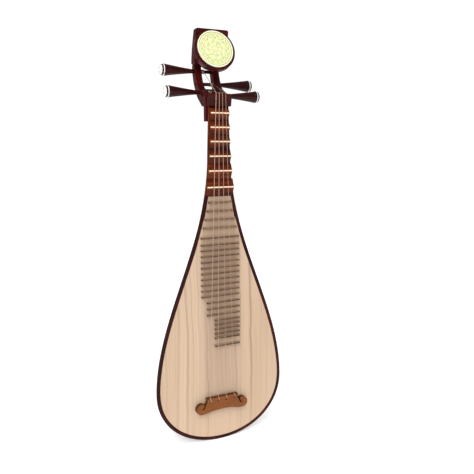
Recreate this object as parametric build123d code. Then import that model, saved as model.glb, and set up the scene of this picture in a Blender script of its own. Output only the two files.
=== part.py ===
from build123d import *
import math
import os

# Pipa, a four-string pear-shaped lute, in millimetres.
# +Z runs up the neck, the soundboard is the plane y = 0 and faces -Y,
# x = 0 is the plane of symmetry and z = 0 is the lowest point of the body.

# ---- overall ----------------------------------------------------------------
body_width = 333.0          # widest place of the rim
body_length = 611.5         # lowest point of the body to the neck joint
neck_length = 204.0         # neck joint to the foot of the nut
nut_height = 28.0
pegbox_height = 71.0        # top of the nut to the foot of the head
head_height = 77.0

neck_joint_z = body_length
neck_top_z = neck_joint_z + neck_length
nut_top_z = neck_top_z + nut_height
pegbox_top_z = nut_top_z + pegbox_height
head_top_z = pegbox_top_z + head_height

# ---- body -------------------------------------------------------------------
body_widest_z = 142.5       # height of the widest place
body_fullness = 2.08        # 2 is an ellipse; more is squarer at the bottom
taper_past_joint = 96.5     # the shoulder curve runs out into the neck this far above the joint
taper_bend = 0.94           # under 1 draws the shoulders in sooner
neck_width_low = 57.0       # neck where the shoulder curve ends
neck_width_high = 50.0      # neck at its top
closing_length = 45.0       # length over which the back closes beyond the neck joint
side_depth = 4.0            # straight part of the side behind the rim
body_depth = 44.0           # soundboard plane to the flat crown of the back
crown_half_width = 56.5     # flat crown of the back
bowl_steepness = 4.0        # how soon the back reaches its depth, going in from the rim
shell_wall = 7.0
rim_width = 8.8             # dark border round the soundboard
ledge_width = 6.0           # ledge that the soundboard is glued to
heel_length = 49.5          # solid wood between the cavity and the neck joint
board_thickness = 5.0
board_end_gap = 3.0         # soundboard's top edge to the neck joint
glue_gap = 0.15             # round the soundboard's edge
sound_hole_radius = 4.0
sound_hole_z = 94.5

crown_inset = body_width / 2 - crown_half_width
taper_end_z = neck_joint_z + taper_past_joint
cavity_top_z = neck_joint_z - heel_length
board_top_z = neck_joint_z - board_end_gap

# ---- inside -----------------------------------------------------------------
brace_heights = (302.0, 207.0)
brace_depth = 11.0
brace_width = 9.0
brace_end_gap = 16.0        # brace end to the cavity wall
post_radius = 4.0
post_x = 26.0
post_z = 152.0

# ---- neck -------------------------------------------------------------------
neck_side_depth = 1.5
neck_depth_low = 31.0       # back of the neck at the body
neck_depth_high = 24.0      # back of the neck at its top
neck_roundness = 1.75
lap_length = 34.0           # lap joint between neck and pegbox
lap_front_y = 9.0
lap_back_y = 24.5
lap_overhang = 3.5          # the lapped tongue stands this far out beside the neck

lap_bottom_z = neck_top_z - lap_length
lap_width = neck_width_high + 2 * lap_overhang

# ---- strings and what they bear on ------------------------------------------
string_radii = (0.70, 0.60, 0.50, 0.40)
string_pitch_nut = 8.0
string_pitch_bridge = 21.5
bridge_top_z = 115.5
bridge_x = -2.5             # the bridge stands a little left of the middle
bridge_height = 12.0
tie_hole_inset = 3.0        # front of the bridge to the strings' line
string_y_nut = -13.6
action = 1.0                # string to the ridge of a xiang
touch_gap = 0.1             # string to the nut

nut_overhang = 3.5          # the nut stands this far out beside the neck
nut_back_y = 5.0
nut_foot_y = -8.0
nut_back_drop = 3.0

string_y_bridge = tie_hole_inset - bridge_height
nut_width = neck_width_high + 2 * nut_overhang

# ---- xiangs, the high frets of the neck ---------------------------------------
xiang_places = (0.9235, 0.7652, 0.6069, 0.4431, 0.2779, 0.0922)    # shares of the neck's length
xiang_side_gaps = (1.7, 2.0, 2.2, 1.0, 0.1, 0.1)    # neck's edge to a xiang's end
xiang_valley_y = -1.8
xiang_ridge = 3.0           # flat of the ridge, and the thickness of its strip
strip_height = 1.6
flank_sag = 0.28            # how hollow the flanks are

xiang_heights = [neck_joint_z + neck_length * place for place in xiang_places]

# ---- pins, the low frets of the soundboard -----------------------------------
pin_height = 7.7
pin_foot = 5.4
pin_crest = 1.8
pin_round = 0.8             # share of the height over which the right end falls away
pin_end_gap = 2.2           # dark border to the ends of the upper pins
long_pin_half = 50.0
middle_pin_left = -36.5
short_pin_left = -17.0
short_pin_right = 51.0
upper_pins = (14.0, 20.0, 4)      # soundboard's top edge to the first, step, count
long_pins = (128.0, 13.9, 9)
long_pin_extra = (97.4, 114.4)    # the two wider-spaced ones above them
middle_pins = (255.0, 15.2, 3)
short_pins = (299.7, 11.3, 5)
short_pin_last = 364.2

# ---- bridge -------------------------------------------------------------------
bridge_half = 42.0          # half of its straight top edge
bridge_tall = 37.5          # top edge to the bottoms of the volutes
bridge_arch = 6.0           # rise of the bottom edge between the volutes
bridge_arch_half = 24.0
volute_reach = 13.0         # end of the top edge to a volute's centre
volute_radius = 13.2
volute_neck_rise = 0.75     # share of the radius at which a volute leaves the bar
tie_hole_radius = 1.2
tie_hole_depth = 9.0
knot_hole_radius = 1.9

bridge_bottom_z = bridge_top_z - bridge_tall
bridge_arch_z = bridge_bottom_z + bridge_arch
volute_x = bridge_half + volute_reach
volute_z = bridge_bottom_z + volute_radius

# ---- pegbox -------------------------------------------------------------------
pegbox_width = 62.0
slot_width = 28.0
pegbox_top_front_y = 68.0
pegbox_top_back_y = 84.0
# depth, and height over the nut's top as a share of pegbox_height
pegbox_back_points = ((36.0, -0.27), (51.5, -0.10), (65.5, 0.155), (75.5, 0.415), (82.0, 0.70))
pegbox_front_points = ((27.0, 0.10), (46.0, 0.24), (58.0, 0.485), (65.0, 0.76))
pocket_points = ((27.0, -0.20), (43.0, -0.09), (56.5, 0.09), (60.5, 0.225))
pocket_front_share = -0.21

# ---- head ---------------------------------------------------------------------
head_width = 82.0
head_corner = 5.0
head_front_low_y = 42.0     # front of the head plate at its foot
head_front_high_y = 30.0    # and at its top, where it curls forward
head_back_low_y = 64.5
head_back_high_y = 45.5
# depth, and share of head_height
head_back_points = ((53.5, 0.69), (60.5, 0.36))
spine_points = ((81.0, 14.5), (70.0, 29.5))     # depth, and height over the pegbox
spine_end = (50.0, 43.5)
spine_foot_y = 54.0
disc_radius = 43.8
disc_thickness = 4.0
disc_lean = 17.0
disc_y = 13.0
disc_rise = 31.0            # centre of the disc over the foot of the head
disc_rim = 2.8
medallion_gap = 0.05        # carved medallion inside its rim
medallion_drop = 0.8        # carved face behind the rim's face
boss_margin = 6.3
boss_straight = 12.0
boss_neck_radius = 33.0
boss_length = 46.0

disc_z = pegbox_top_z + disc_rise

# ---- pegs ---------------------------------------------------------------------
peg_running_gap = 0.05
shank_radius = 4.0
peg_tip_gap = 1.0           # the shank ends this far inside the far cheek
handle_length = 75.0
handle_radius = 14.0
handle_waist_radius = 4.6
ring_neck_radius = 6.0      # of the peg, inside its white ring
ring_width = 2.4
collar_width = 3.6
cap_length = 5.0
nub_length = 2.0
winding_thickness = 1.5
winding_width = 9.0
winding_side_gap = 0.5      # outermost winding to the slot's wall
string_end_gap = 0.35
string_bend_radius = 3.0    # over the nut
nut_crown_gap = 1.2         # the bend's point over the nut's crown

handle_start = pegbox_width / 2
handle_end = handle_start + handle_length


def peg_height(share):
    """Height at a share of pegbox_height over the nut's top."""
    return nut_top_z + pegbox_height * share


peg_places = {              # side, y, z and the string that it winds
    "upper_left": (-1, 73.5, peg_height(0.80), 0),
    "upper_right": (1, 62.5, peg_height(0.375), 3),
    "lower_left": (-1, 46.5, peg_height(0.08), 1),
    "lower_right": (1, 22.0, peg_height(-0.035), 2),
}


# ---- shapes that several pieces share -----------------------------------------
def rim_half_width(z):
    """Half width of the body's outline, and of the neck above it, at height z."""
    half = body_width / 2
    low = neck_width_low / 2
    if z <= body_widest_z:
        away = (body_widest_z - z) / body_widest_z
        return half * (1 - away ** body_fullness) ** (1 / body_fullness)
    if z <= taper_end_z:
        along = (z - body_widest_z) / (taper_end_z - body_widest_z)
        return low + (half - low) * (1 + math.cos(math.pi * along ** taper_bend)) / 2
    along = (z - taper_end_z) / (neck_top_z - taper_end_z)
    return low + (neck_width_high / 2 - low) * along


def closed_half_width(z):
    """The same, but drawn in to a round end above the neck joint."""
    past = max(0.0, z - neck_joint_z) / closing_length
    return rim_half_width(z) * math.sqrt(max(0.0, 1 - past ** 2))


def upper_half(z, inset, width_at):
    """Half width at height z of the outline set in by inset, above the widest place."""
    slope = (rim_half_width(z + 1) - rim_half_width(z - 1)) / 2
    return width_at(z) - inset * math.sqrt(1 + slope ** 2)


def lower_points(inset):
    """Right half of the outline below the widest place, from the bottom up."""
    half = body_width / 2 - inset
    tall = body_widest_z - inset
    power = 2 / body_fullness
    turns = [math.radians(a) for a in (0, 8, 18, 30, 43, 57, 72)]
    return [
        (half * math.sin(t) ** power, body_widest_z - tall * math.cos(t) ** power)
        for t in turns
    ]


def side_edges(points, end_tangent):
    """A smooth right edge through the points and its mirror image."""
    right = Spline(*points, tangents=[(1, 0), end_tangent])
    return [right, right.mirror(Plane.YZ)]


def open_outline(inset, top_z):
    """Face of the outline set in by inset and cut straight across at top_z."""
    count = 9
    step = (top_z - body_widest_z) / count
    heights = [body_widest_z + step * i for i in range(count + 1)]
    upper = [(upper_half(z, inset, rim_half_width), z) for z in heights]
    slope = (upper_half(top_z, inset, rim_half_width)
             - upper_half(top_z - 1, inset, rim_half_width))
    edges = side_edges(lower_points(inset) + upper, (slope, 1))
    end = upper[-1][0]
    return make_face(edges + [Line((-end, top_z), (end, top_z))])


def closed_outline(inset):
    """Face of the outline set in by inset, with a round upper end."""
    low, high = body_widest_z, neck_joint_z + closing_length
    for _ in range(40):
        middle = (low + high) / 2
        if upper_half(middle, inset, closed_half_width) > 0:
            low = middle
        else:
            high = middle
    count = 12
    heights = [body_widest_z + (low - body_widest_z) * i / count for i in range(count)]
    upper = [(upper_half(z, inset, closed_half_width), z) for z in heights]
    return make_face(side_edges(lower_points(inset) + upper + [(0, low)], (-1, 0)))


def at_depth(face, y):
    """Stand a flat face, drawn in x and z, upright at depth y."""
    return Plane.XZ.offset(-y) * face


def slab(face, y_front, y_back):
    """Solid of a face drawn in x and z, from y_front to y_back."""
    return extrude(at_depth(face, y_front), amount=y_front - y_back)


def across(face, x_left, x_right):
    """Solid of a face drawn in y and z, from x_left to x_right."""
    return extrude(Plane.YZ.offset(x_left) * face, amount=x_right - x_left)


def block(x_left, x_right, y_front, y_back, z_low, z_high):
    """Solid box between the six planes."""
    box = Box(x_right - x_left, y_back - y_front, z_high - z_low,
              align=(Align.MIN, Align.MIN, Align.MIN))
    return Pos(x_left, y_front, z_low) * box


def bar(x_left, x_right, y, z, radius):
    """Round bar along X."""
    along = Plane(origin=(x_left, y, z), z_dir=(1, 0, 0))
    return along * Cylinder(radius, x_right - x_left, align=(Align.CENTER, Align.CENTER, Align.MIN))


def rod(start, end, radius):
    """Round rod from one point to another."""
    way = Vector(*end) - Vector(*start)
    along = Plane(origin=start, z_dir=way)
    return along * Cylinder(radius, way.length, align=(Align.CENTER, Align.CENTER, Align.MIN))


def bowl(depth_front, depth_crown, inset_front, inset_crown):
    """Solid of a shallow bowl: similar outlines that close in towards the crown."""
    sections = []
    for share in (0, 0.06, 0.13, 0.22, 0.33, 0.48, 0.68, 1):
        inset = inset_front + (inset_crown - inset_front) * share
        y = depth_front + (depth_crown - depth_front) * (1 - (1 - share) ** bowl_steepness)
        sections.append(at_depth(closed_outline(inset), y))
    return loft(sections, ruled=True)


# ---- body ---------------------------------------------------------------------
def make_back_shell():
    outside = slab(closed_outline(0), 0, side_depth) + bowl(side_depth, body_depth, 0, crown_inset)
    cavity_inset = rim_width + ledge_width
    cavity_floor = body_depth - shell_wall
    cavity = bowl(board_thickness, cavity_floor, cavity_inset, crown_inset)
    recess = slab(open_outline(rim_width, board_top_z + glue_gap), 0, board_thickness)
    below_joint = block(-body_width, body_width, -1, 2 * body_depth, -1, neck_joint_z)
    below_heel = block(-body_width, body_width, -1, 2 * body_depth, -1, cavity_top_z)
    return (outside & below_joint) - (cavity & below_heel) - recess


def make_soundboard():
    board = slab(open_outline(rim_width + glue_gap, board_top_z), 0, board_thickness)
    hole = rod((0, -1, sound_hole_z), (0, board_thickness + 1, sound_hole_z), sound_hole_radius)
    return board - hole


def make_brace(z):
    half = rim_half_width(z) - rim_width - ledge_width - brace_end_gap
    back = board_thickness + brace_depth
    return block(-half, half, board_thickness, back, z - brace_width / 2, z + brace_width / 2)


def make_sound_post():
    return rod((post_x, board_thickness, post_z),
               (post_x, body_depth - shell_wall, post_z), post_radius)


# ---- neck ---------------------------------------------------------------------
def neck_section(z):
    """Section of the neck: flat front, short straight sides, rounded back."""
    half = rim_half_width(z)
    up = (z - neck_joint_z) / (neck_top_z - neck_joint_z)
    depth = neck_depth_low + (neck_depth_high - neck_depth_low) * math.sin(up * math.pi / 2)
    power = 2 / neck_roundness
    back = []
    for turn in (0, 20, 40, 60, 76, 90):
        sine, cosine = math.sin(math.radians(turn)), math.cos(math.radians(turn))
        width = half * max(cosine, 0) ** power
        back.append((width, neck_side_depth + (depth - neck_side_depth) * sine ** power))
    whole = back + [(-x, y) for x, y in reversed(back[:-1])]
    curve = Spline(*whole, tangents=[(0, 1), (0, -1)])
    front = Polyline((-half, neck_side_depth), (-half, 0), (half, 0), (half, neck_side_depth))
    return Plane.XY.offset(z) * make_face([curve, front])


def make_neck():
    heights = [neck_joint_z + neck_length * share for share in (0, 0.14, 0.3, 0.47, 0.7, 1)]
    neck = loft([neck_section(z) for z in heights])
    lap = block(-lap_width, lap_width, lap_front_y, body_depth, lap_bottom_z, neck_top_z + 1)
    return neck - lap


# ---- strings' line --------------------------------------------------------------
def string_y(z):
    """Depth of the strings' centre line between bridge and nut."""
    along = (z - bridge_top_z) / (nut_top_z - bridge_top_z)
    return string_y_bridge + (string_y_nut - string_y_bridge) * along


def string_x(number, z):
    """Place across the neck of one string, number 0 to 3 from the left."""
    along = (z - bridge_top_z) / (nut_top_z - bridge_top_z)
    pitch = string_pitch_bridge + (string_pitch_nut - string_pitch_bridge) * along
    return (number - 1.5) * pitch + bridge_x * (1 - along)


def make_nut():
    ridge_y = string_y(nut_top_z) + max(string_radii) + touch_gap
    profile = Polyline((nut_back_y, neck_top_z), (nut_foot_y, neck_top_z),
                       (ridge_y, nut_top_z - 3), (ridge_y + 1.5, nut_top_z - 0.5),
                       (ridge_y + 4, nut_top_z), (nut_back_y, nut_top_z - nut_back_drop),
                       close=True)
    return across(make_face(profile), -nut_width / 2, nut_width / 2)


# ---- xiangs -----------------------------------------------------------------------
def xiang_limits(index):
    """Lowest and highest point of one xiang, where it meets its neighbours."""
    z = xiang_heights[index]
    if index == 0:
        high = neck_top_z
    else:
        high = (z + xiang_heights[index - 1]) / 2
    if index == len(xiang_heights) - 1:
        low = board_top_z
    else:
        low = (z + xiang_heights[index + 1]) / 2
    return low, high


def xiang_half_width(index):
    """Half width of one xiang and its strip."""
    return rim_half_width(xiang_heights[index]) - xiang_side_gaps[index]


def xiang_ridge_y(index):
    """Top of one xiang's strip."""
    return string_y(xiang_heights[index]) + max(string_radii) + action


def make_xiang(index):
    z = xiang_heights[index]
    low, high = xiang_limits(index)
    crest = xiang_ridge_y(index) + strip_height
    half_ridge = xiang_ridge / 2
    flanks = []
    for foot, ridge in ((low, z - half_ridge), (high, z + half_ridge)):
        middle = ((xiang_valley_y + crest) / 2 + flank_sag * (xiang_valley_y - crest) / 2,
                  (foot + ridge) / 2)
        flanks.append(ThreePointArc((xiang_valley_y, foot), middle, (crest, ridge)))
    top = Line((crest, z - half_ridge), (crest, z + half_ridge))
    base = Polyline((xiang_valley_y, low), (0, low), (0, high), (xiang_valley_y, high))
    half = xiang_half_width(index)
    return across(make_face([flanks[0], top, flanks[1], base]), -half, half)


def make_xiang_strip(index):
    z = xiang_heights[index]
    top = xiang_ridge_y(index)
    half = xiang_half_width(index)
    strip = block(-half, half, top, top + strip_height, z - xiang_ridge / 2, z + xiang_ridge / 2)
    return fillet(strip.edges().filter_by(Axis.X).group_by(Axis.Y)[0], 0.6)


# ---- pins -------------------------------------------------------------------------
def make_pin(z, x_left, x_right):
    """One low fret: a tapering bar whose right end falls away in a curve."""
    profile = Polyline((0, z - pin_foot / 2), (-pin_height, z - pin_crest / 2),
                       (-pin_height, z + pin_crest / 2), (0, z + pin_foot / 2), close=True)
    pin = across(make_face(profile), x_left, x_right)
    round_off = pin_height * pin_round
    corner = Pos(x_right - round_off, -pin_height + round_off, z)
    keep = corner * Cylinder(round_off, pin_foot + 1)
    waste = block(x_right - round_off, x_right + 1, -pin_height - 1, -pin_height + round_off,
                  z - pin_foot, z + pin_foot)
    return pin - (waste - keep)


def pin_row(heights, x_left, x_right):
    return [make_pin(z, x_left, x_right) for z in heights]


def ladder(row):
    """Heights of a row of pins, from the top down."""
    drop, step, count = row
    return [board_top_z - drop - step * i for i in range(count)]


def make_upper_pins():
    margin = rim_width + pin_end_gap
    halves = [(z, upper_half(z, margin, rim_half_width)) for z in ladder(upper_pins)]
    return Compound([make_pin(z, -half, half) for z, half in halves])


def make_long_pins():
    heights = [board_top_z - drop for drop in long_pin_extra] + ladder(long_pins)
    return Compound(pin_row(heights, -long_pin_half, long_pin_half))


def make_middle_pins():
    return Compound(pin_row(ladder(middle_pins), middle_pin_left, short_pin_right))


def make_short_pins():
    heights = ladder(short_pins) + [board_top_z - short_pin_last]
    return Compound(pin_row(heights, short_pin_left, short_pin_right))


# ---- bridge -------------------------------------------------------------------------
def bridge_face():
    """Front of the bridge's bar in x and z, without its volutes."""
    waist_z = volute_z + volute_radius * volute_neck_rise
    throat_z = (bridge_top_z + waist_z) / 2
    right_side = Spline((bridge_half, bridge_top_z), (bridge_half - 2, throat_z),
                        (bridge_half + 2, waist_z), (volute_x, waist_z))
    right_end = Line((volute_x, waist_z), (volute_x, bridge_bottom_z))
    arch_side_z = bridge_arch_z - bridge_arch / 4
    arch = Spline((volute_x, bridge_bottom_z), (bridge_arch_half, arch_side_z), (0, bridge_arch_z),
                  (-bridge_arch_half, arch_side_z), (-volute_x, bridge_bottom_z),
                  tangents=[(-1, 0), (-1, 0)])
    top = Line((-bridge_half, bridge_top_z), (bridge_half, bridge_top_z))
    return make_face([top, right_side, right_end, arch,
                      right_end.mirror(Plane.YZ), right_side.mirror(Plane.YZ)])


def make_bridge():
    bridge = slab(Pos(bridge_x, 0) * bridge_face(), -bridge_height, 0)
    for side in (-1, 1):
        volute = Pos(bridge_x + side * volute_x, volute_z) * Circle(volute_radius)
        bridge += slab(volute, -bridge_height, 0)
    for number in range(len(string_radii)):
        x = string_x(number, bridge_top_z)
        low = bridge_top_z - tie_hole_depth
        bridge -= rod((x, string_y_bridge, low), (x, string_y_bridge, bridge_top_z + 1),
                      tie_hole_radius)
        bridge -= rod((x, string_y_bridge + 1, low), (x, -bridge_height - 1, low),
                      knot_hole_radius)
    return bridge


# ---- pegbox -------------------------------------------------------------------------
def pegbox_curve(points):
    """Points in y and z from depths and shares of pegbox_height."""
    return [(y, peg_height(share)) for y, share in points]


def pegbox_side():
    """Outline of a cheek in y and z."""
    nut_back = (nut_back_y, nut_top_z - nut_back_drop)
    back = Spline((lap_back_y, neck_top_z), *pegbox_curve(pegbox_back_points),
                  (pegbox_top_back_y, pegbox_top_z), tangents=[(1, 0.45), (0, 1)])
    front = Spline(nut_back, *pegbox_curve(pegbox_front_points),
                   (pegbox_top_front_y, pegbox_top_z), tangents=[(1, 0.35), (0.1, 1)])
    top = Line((pegbox_top_front_y, pegbox_top_z), (pegbox_top_back_y, pegbox_top_z))
    foot = Polyline((lap_back_y, neck_top_z), (nut_back_y, neck_top_z), nut_back)
    return make_face([back, top, front, foot])


def peg_bores():
    """Bores for the four shanks, right through both cheeks."""
    bores = []
    for _, y, z, _ in peg_places.values():
        bores.append(bar(-pegbox_width, pegbox_width, y, z, shank_radius + peg_running_gap))
    return bores


def make_cheek(side):
    inner, outer = slot_width / 2, pegbox_width / 2
    if side < 0:
        cheek = across(pegbox_side(), -outer, -inner)
    else:
        cheek = across(pegbox_side(), inner, outer)
    for bore in peg_bores():
        cheek -= bore
    return cheek


def make_pegbox_base():
    """Floor and rear wall between the cheeks, with the tongue lapped behind the neck."""
    inner = slot_width / 2
    core = across(pegbox_side(), -inner, inner)
    open_y, open_z = 2 * pegbox_top_back_y, 2 * head_top_z      # well clear of the pegbox
    front_y, rear_z = nut_back_y - 1, peg_height(pocket_points[-1][1])
    pocket = make_face([
        Polyline((front_y, peg_height(pocket_front_share)), *pegbox_curve(pocket_points),
                 (open_y, rear_z), (open_y, open_z), (front_y, open_z), close=True),
    ])
    core -= across(pocket, -inner, inner)
    tongue = block(-lap_width / 2, lap_width / 2, lap_front_y, lap_back_y, lap_bottom_z, neck_top_z)
    tongue = fillet(tongue.edges().filter_by(Axis.Z).group_by(Axis.Y)[-1], 4)
    return core + tongue


# ---- head -----------------------------------------------------------------------------
def disc_plane(back):
    """Plane of the medallion, moved back along its own axis."""
    lean = math.radians(disc_lean)
    normal = Vector(0, math.cos(lean), -math.sin(lean))
    origin = Vector(0, disc_y, disc_z) + normal * back
    return Plane(origin=origin, x_dir=(1, 0, 0), z_dir=normal)


def disc_cylinder(radius, start, length):
    return disc_plane(start) * Cylinder(radius, length, align=(Align.CENTER, Align.CENTER, Align.MIN))


def head_front_y(z):
    """Front of the head plate at height z, and of its plane beyond it."""
    along = (z - pegbox_top_z) / head_height
    return head_front_low_y + (head_front_high_y - head_front_low_y) * along


def head_profile():
    """Side outline of the head plate: it curls forward to a thin top edge."""
    foot_front, foot_back = (head_front_low_y, pegbox_top_z), (head_back_low_y, pegbox_top_z)
    top_front, top_back = (head_front_high_y, head_top_z), (head_back_high_y, head_top_z)
    bends = [(y, pegbox_top_z + head_height * share) for y, share in head_back_points]
    return make_face([Line(foot_front, top_front), Line(top_front, top_back),
                      Spline(top_back, *bends, foot_back), Line(foot_back, foot_front)])


def make_head_block():
    plate = across(head_profile(), -head_width / 2, head_width / 2)
    corners = plate.edges().filter_by(Axis.Y, tolerance=2).group_by(Axis.Z)[-1]
    plate = fillet(corners, head_corner)
    foot, heel = (spine_foot_y, pegbox_top_z), (pegbox_top_back_y, pegbox_top_z)
    end = (spine_end[0], pegbox_top_z + spine_end[1])
    bends = [(y, pegbox_top_z + rise) for y, rise in spine_points]
    spine = make_face([Line(foot, heel), Spline(heel, *bends, end, tangents=[(0, 1), (-1, 0.9)]),
                       Line(end, foot)])
    return plate + across(spine, -pegbox_width / 2, pegbox_width / 2)


def make_head_boss():
    radius = disc_radius + boss_margin
    straight = disc_cylinder(radius, disc_thickness, boss_straight)
    taper_start = disc_plane(disc_thickness + boss_straight) * Circle(radius)
    taper_end = disc_plane(boss_length) * Circle(boss_neck_radius)
    boss = straight + loft([taper_start, taper_end])
    above, below = head_top_z + disc_radius, pegbox_top_z - disc_radius
    far_y = pegbox_top_back_y + head_width
    behind = Polyline((head_front_y(below), below), (head_front_y(above), above),
                      (far_y, above), (far_y, below), close=True)
    return boss - across(make_face(behind), -head_width, head_width)


def make_medallion():
    radius = disc_radius - disc_rim - medallion_gap
    return disc_cylinder(radius, medallion_drop, disc_thickness - medallion_drop)


def make_medallion_rim():
    return (disc_cylinder(disc_radius, 0, disc_thickness)
            - disc_cylinder(disc_radius - disc_rim, -1, disc_thickness + 2))


# ---- pegs -----------------------------------------------------------------------------
def turned(points, side, y, z):
    """Solid turned about a peg's axis from (distance out, radius) points."""
    first, last = points[0][0], points[-1][0]
    outline = Polyline((first, 0), *points, (last, 0), close=True)
    solid = revolve(make_face(outline), Axis.X, 360)
    if side < 0:
        solid = solid.mirror(Plane.YZ)
    return Pos(0, y, z) * solid


def handle_swell(share):
    """Radius of a handle at a share of its length from the pegbox."""
    grow = handle_radius - handle_waist_radius
    return handle_waist_radius + grow * (0.25 * share + 0.75 * share ** 1.25)


def make_peg(side, y, z):
    tip = peg_tip_gap - pegbox_width / 2
    collar_start = handle_end + ring_width
    points = [(tip, shank_radius), (handle_start, shank_radius)]
    for share in (0, 0.25, 0.5, 0.75, 0.96):
        points.append((handle_start + handle_length * share, handle_swell(share)))
    points += [(handle_end, handle_radius - 0.4), (handle_end, ring_neck_radius),
               (collar_start, ring_neck_radius), (collar_start, handle_radius - 1),
               (collar_start + collar_width, handle_radius - 1.6)]
    return turned(points, side, y, z)


def make_peg_trim(side, y, z):
    """White ring behind the collar, and the domed cap with its nub."""
    ring_end = handle_end + ring_width
    ring = turned([(handle_end, handle_radius - 0.6), (ring_end, handle_radius - 0.8)], side, y, z)
    ring -= turned([(handle_end - 1, ring_neck_radius), (ring_end + 1, ring_neck_radius)],
                   side, y, z)
    start = ring_end + collar_width
    radius = handle_radius - 2.4
    dome = [(start, radius)]
    for turn in (20, 40, 60, 75):
        angle = math.radians(turn)
        dome.append((start + cap_length * math.sin(angle), radius * math.cos(angle)))
    nub = start + cap_length
    dome += [(nub, 1.6), (nub + nub_length * 0.6, 1.5), (nub + nub_length, 0.6)]
    return Compound([ring, turned(dome, side, y, z)])


def winding_x(number):
    """Place of a string's winding along its peg, the outer ones just inside the slot."""
    outermost = slot_width / 2 - winding_width / 2 - winding_side_gap
    return outermost * (number - 1.5) / 1.5


def make_winding(y, z, number):
    x = winding_x(number)
    outer = shank_radius + winding_thickness
    sleeve = bar(x - winding_width / 2, x + winding_width / 2, y, z, outer)
    return sleeve - bar(x - winding_width, x + winding_width, y, z, shank_radius)


# ---- strings ----------------------------------------------------------------------------
def make_string(number, y, z):
    """One string: from its hole in the bridge, over the nut, to just short of its winding."""
    radius = string_radii[number]
    start_z = bridge_top_z - tie_hole_depth / 2
    bend = (string_x(number, nut_top_z), string_y_nut, nut_top_z + radius + nut_crown_gap)
    start = (string_x(number, bridge_top_z), string_y_bridge, start_z)
    reach_y, reach_z = y - bend[1], z - bend[2]
    reach = math.hypot(reach_y, reach_z)
    off = shank_radius + winding_thickness + radius + string_end_gap
    end = (winding_x(number), y - off * reach_z / reach, z + off * reach_y / reach)
    path = FilletPolyline(start, bend, end, radius=string_bend_radius)
    section = Plane(origin=start, z_dir=path % 0) * Circle(radius)
    return sweep(section, path=path)


# ---- every node -----------------------------------------------------------------------
def build_all():
    nodes = {
        "back_shell": make_back_shell(),
        "soundboard": make_soundboard(),
        "upper_brace": make_brace(brace_heights[0]),
        "lower_brace": make_brace(brace_heights[1]),
        "sound_post": make_sound_post(),
        "neck": make_neck(),
        "nut": make_nut(),
        "upper_pins": make_upper_pins(),
        "long_pins": make_long_pins(),
        "middle_pins": make_middle_pins(),
        "short_pins": make_short_pins(),
        "bridge": make_bridge(),
        "pegbox_left_cheek": make_cheek(-1),
        "pegbox_right_cheek": make_cheek(1),
        "pegbox_base": make_pegbox_base(),
        "head_block": make_head_block(),
        "head_boss": make_head_boss(),
        "medallion": make_medallion(),
        "medallion_rim": make_medallion_rim(),
    }
    for index in range(len(xiang_heights)):
        nodes[f"xiang_{index + 1}"] = make_xiang(index)
        nodes[f"xiang_strip_{index + 1}"] = make_xiang_strip(index)
    for name, (side, y, z, number) in peg_places.items():
        nodes[f"{name}_peg"] = make_peg(side, y, z)
        nodes[f"{name}_peg_trim"] = make_peg_trim(side, y, z)
        nodes[f"{name}_winding"] = make_winding(y, z, number)
        nodes[f"string_{number + 1}"] = make_string(number, y, z)
    return nodes


os.makedirs("parts", exist_ok=True)
for node, shape in build_all().items():
    export_step(shape, f"parts/{node}.step")
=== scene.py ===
"""Looks of a pipa, a pear-shaped lute with four strings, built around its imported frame.

Sizes are in millimetres and become metres when a mesh is made. +Z runs up the neck,
the soundboard faces -Y and x = 0 is the plane of symmetry.
"""
import logging
import math
from dataclasses import dataclass, field
from enum import Enum
from functools import cache
from typing import Callable, Iterable, Optional, Sequence

import bmesh
import bpy
from mathutils import Matrix, Vector


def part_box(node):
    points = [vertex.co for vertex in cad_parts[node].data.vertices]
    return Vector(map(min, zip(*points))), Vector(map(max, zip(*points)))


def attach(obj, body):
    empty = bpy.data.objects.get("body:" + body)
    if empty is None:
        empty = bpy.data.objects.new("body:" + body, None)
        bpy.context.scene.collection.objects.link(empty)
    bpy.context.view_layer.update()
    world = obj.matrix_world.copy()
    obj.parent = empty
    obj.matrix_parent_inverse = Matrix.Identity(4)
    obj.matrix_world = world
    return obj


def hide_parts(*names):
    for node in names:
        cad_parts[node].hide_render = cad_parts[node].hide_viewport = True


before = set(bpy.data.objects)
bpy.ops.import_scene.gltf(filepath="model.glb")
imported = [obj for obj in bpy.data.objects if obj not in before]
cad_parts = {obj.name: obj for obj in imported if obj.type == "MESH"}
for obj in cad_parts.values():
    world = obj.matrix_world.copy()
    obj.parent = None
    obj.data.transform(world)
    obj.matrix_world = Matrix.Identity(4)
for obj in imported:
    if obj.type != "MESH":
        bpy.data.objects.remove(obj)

logging.basicConfig(level=logging.INFO, format="%(levelname)s %(message)s")
log = logging.getLogger("pipa")

MM = 0.001
ROOT = "instrument"
SHANK_RADIUS = 4.0
STRING_RADII = (0.70, 0.60, 0.50, 0.40)
BRIDGE_PITCH = 21.5         # between strings at the bridge
KNOT_DROP = 9.0             # knot holes under the bridge's top edge
NECK_DEPTH = 31.0           # back of the neck at the body
NECK_SIDE = 1.5
NECK_ROUNDNESS = 1.75
Point = tuple[float, float, float]
Flat = tuple[float, float]
Colour = tuple[float, float, float]
Screen = tuple[int, int, int]
Object = bpy.types.Object
Material = bpy.types.Material
Socket = bpy.types.NodeSocket


# ---- frame ------------------------------------------------------------------
@dataclass(frozen=True)
class Extent:
    """Lowest and highest corner of a CAD node, in millimetres."""

    low: Vector
    high: Vector

    @classmethod
    @cache
    def of(cls, node: str) -> "Extent":
        """Read a node's extent from the frame.

        Args:
            node: the CAD node's name.

        Returns:
            The extent in millimetres.
        """
        low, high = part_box(node)
        return cls(low / MM, high / MM)

    @property
    def middle(self) -> Vector:
        """Centre of the extent."""
        return (self.low + self.high) / 2

    @property
    def size(self) -> Vector:
        """Length of the extent along each axis."""
        return self.high - self.low


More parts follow.
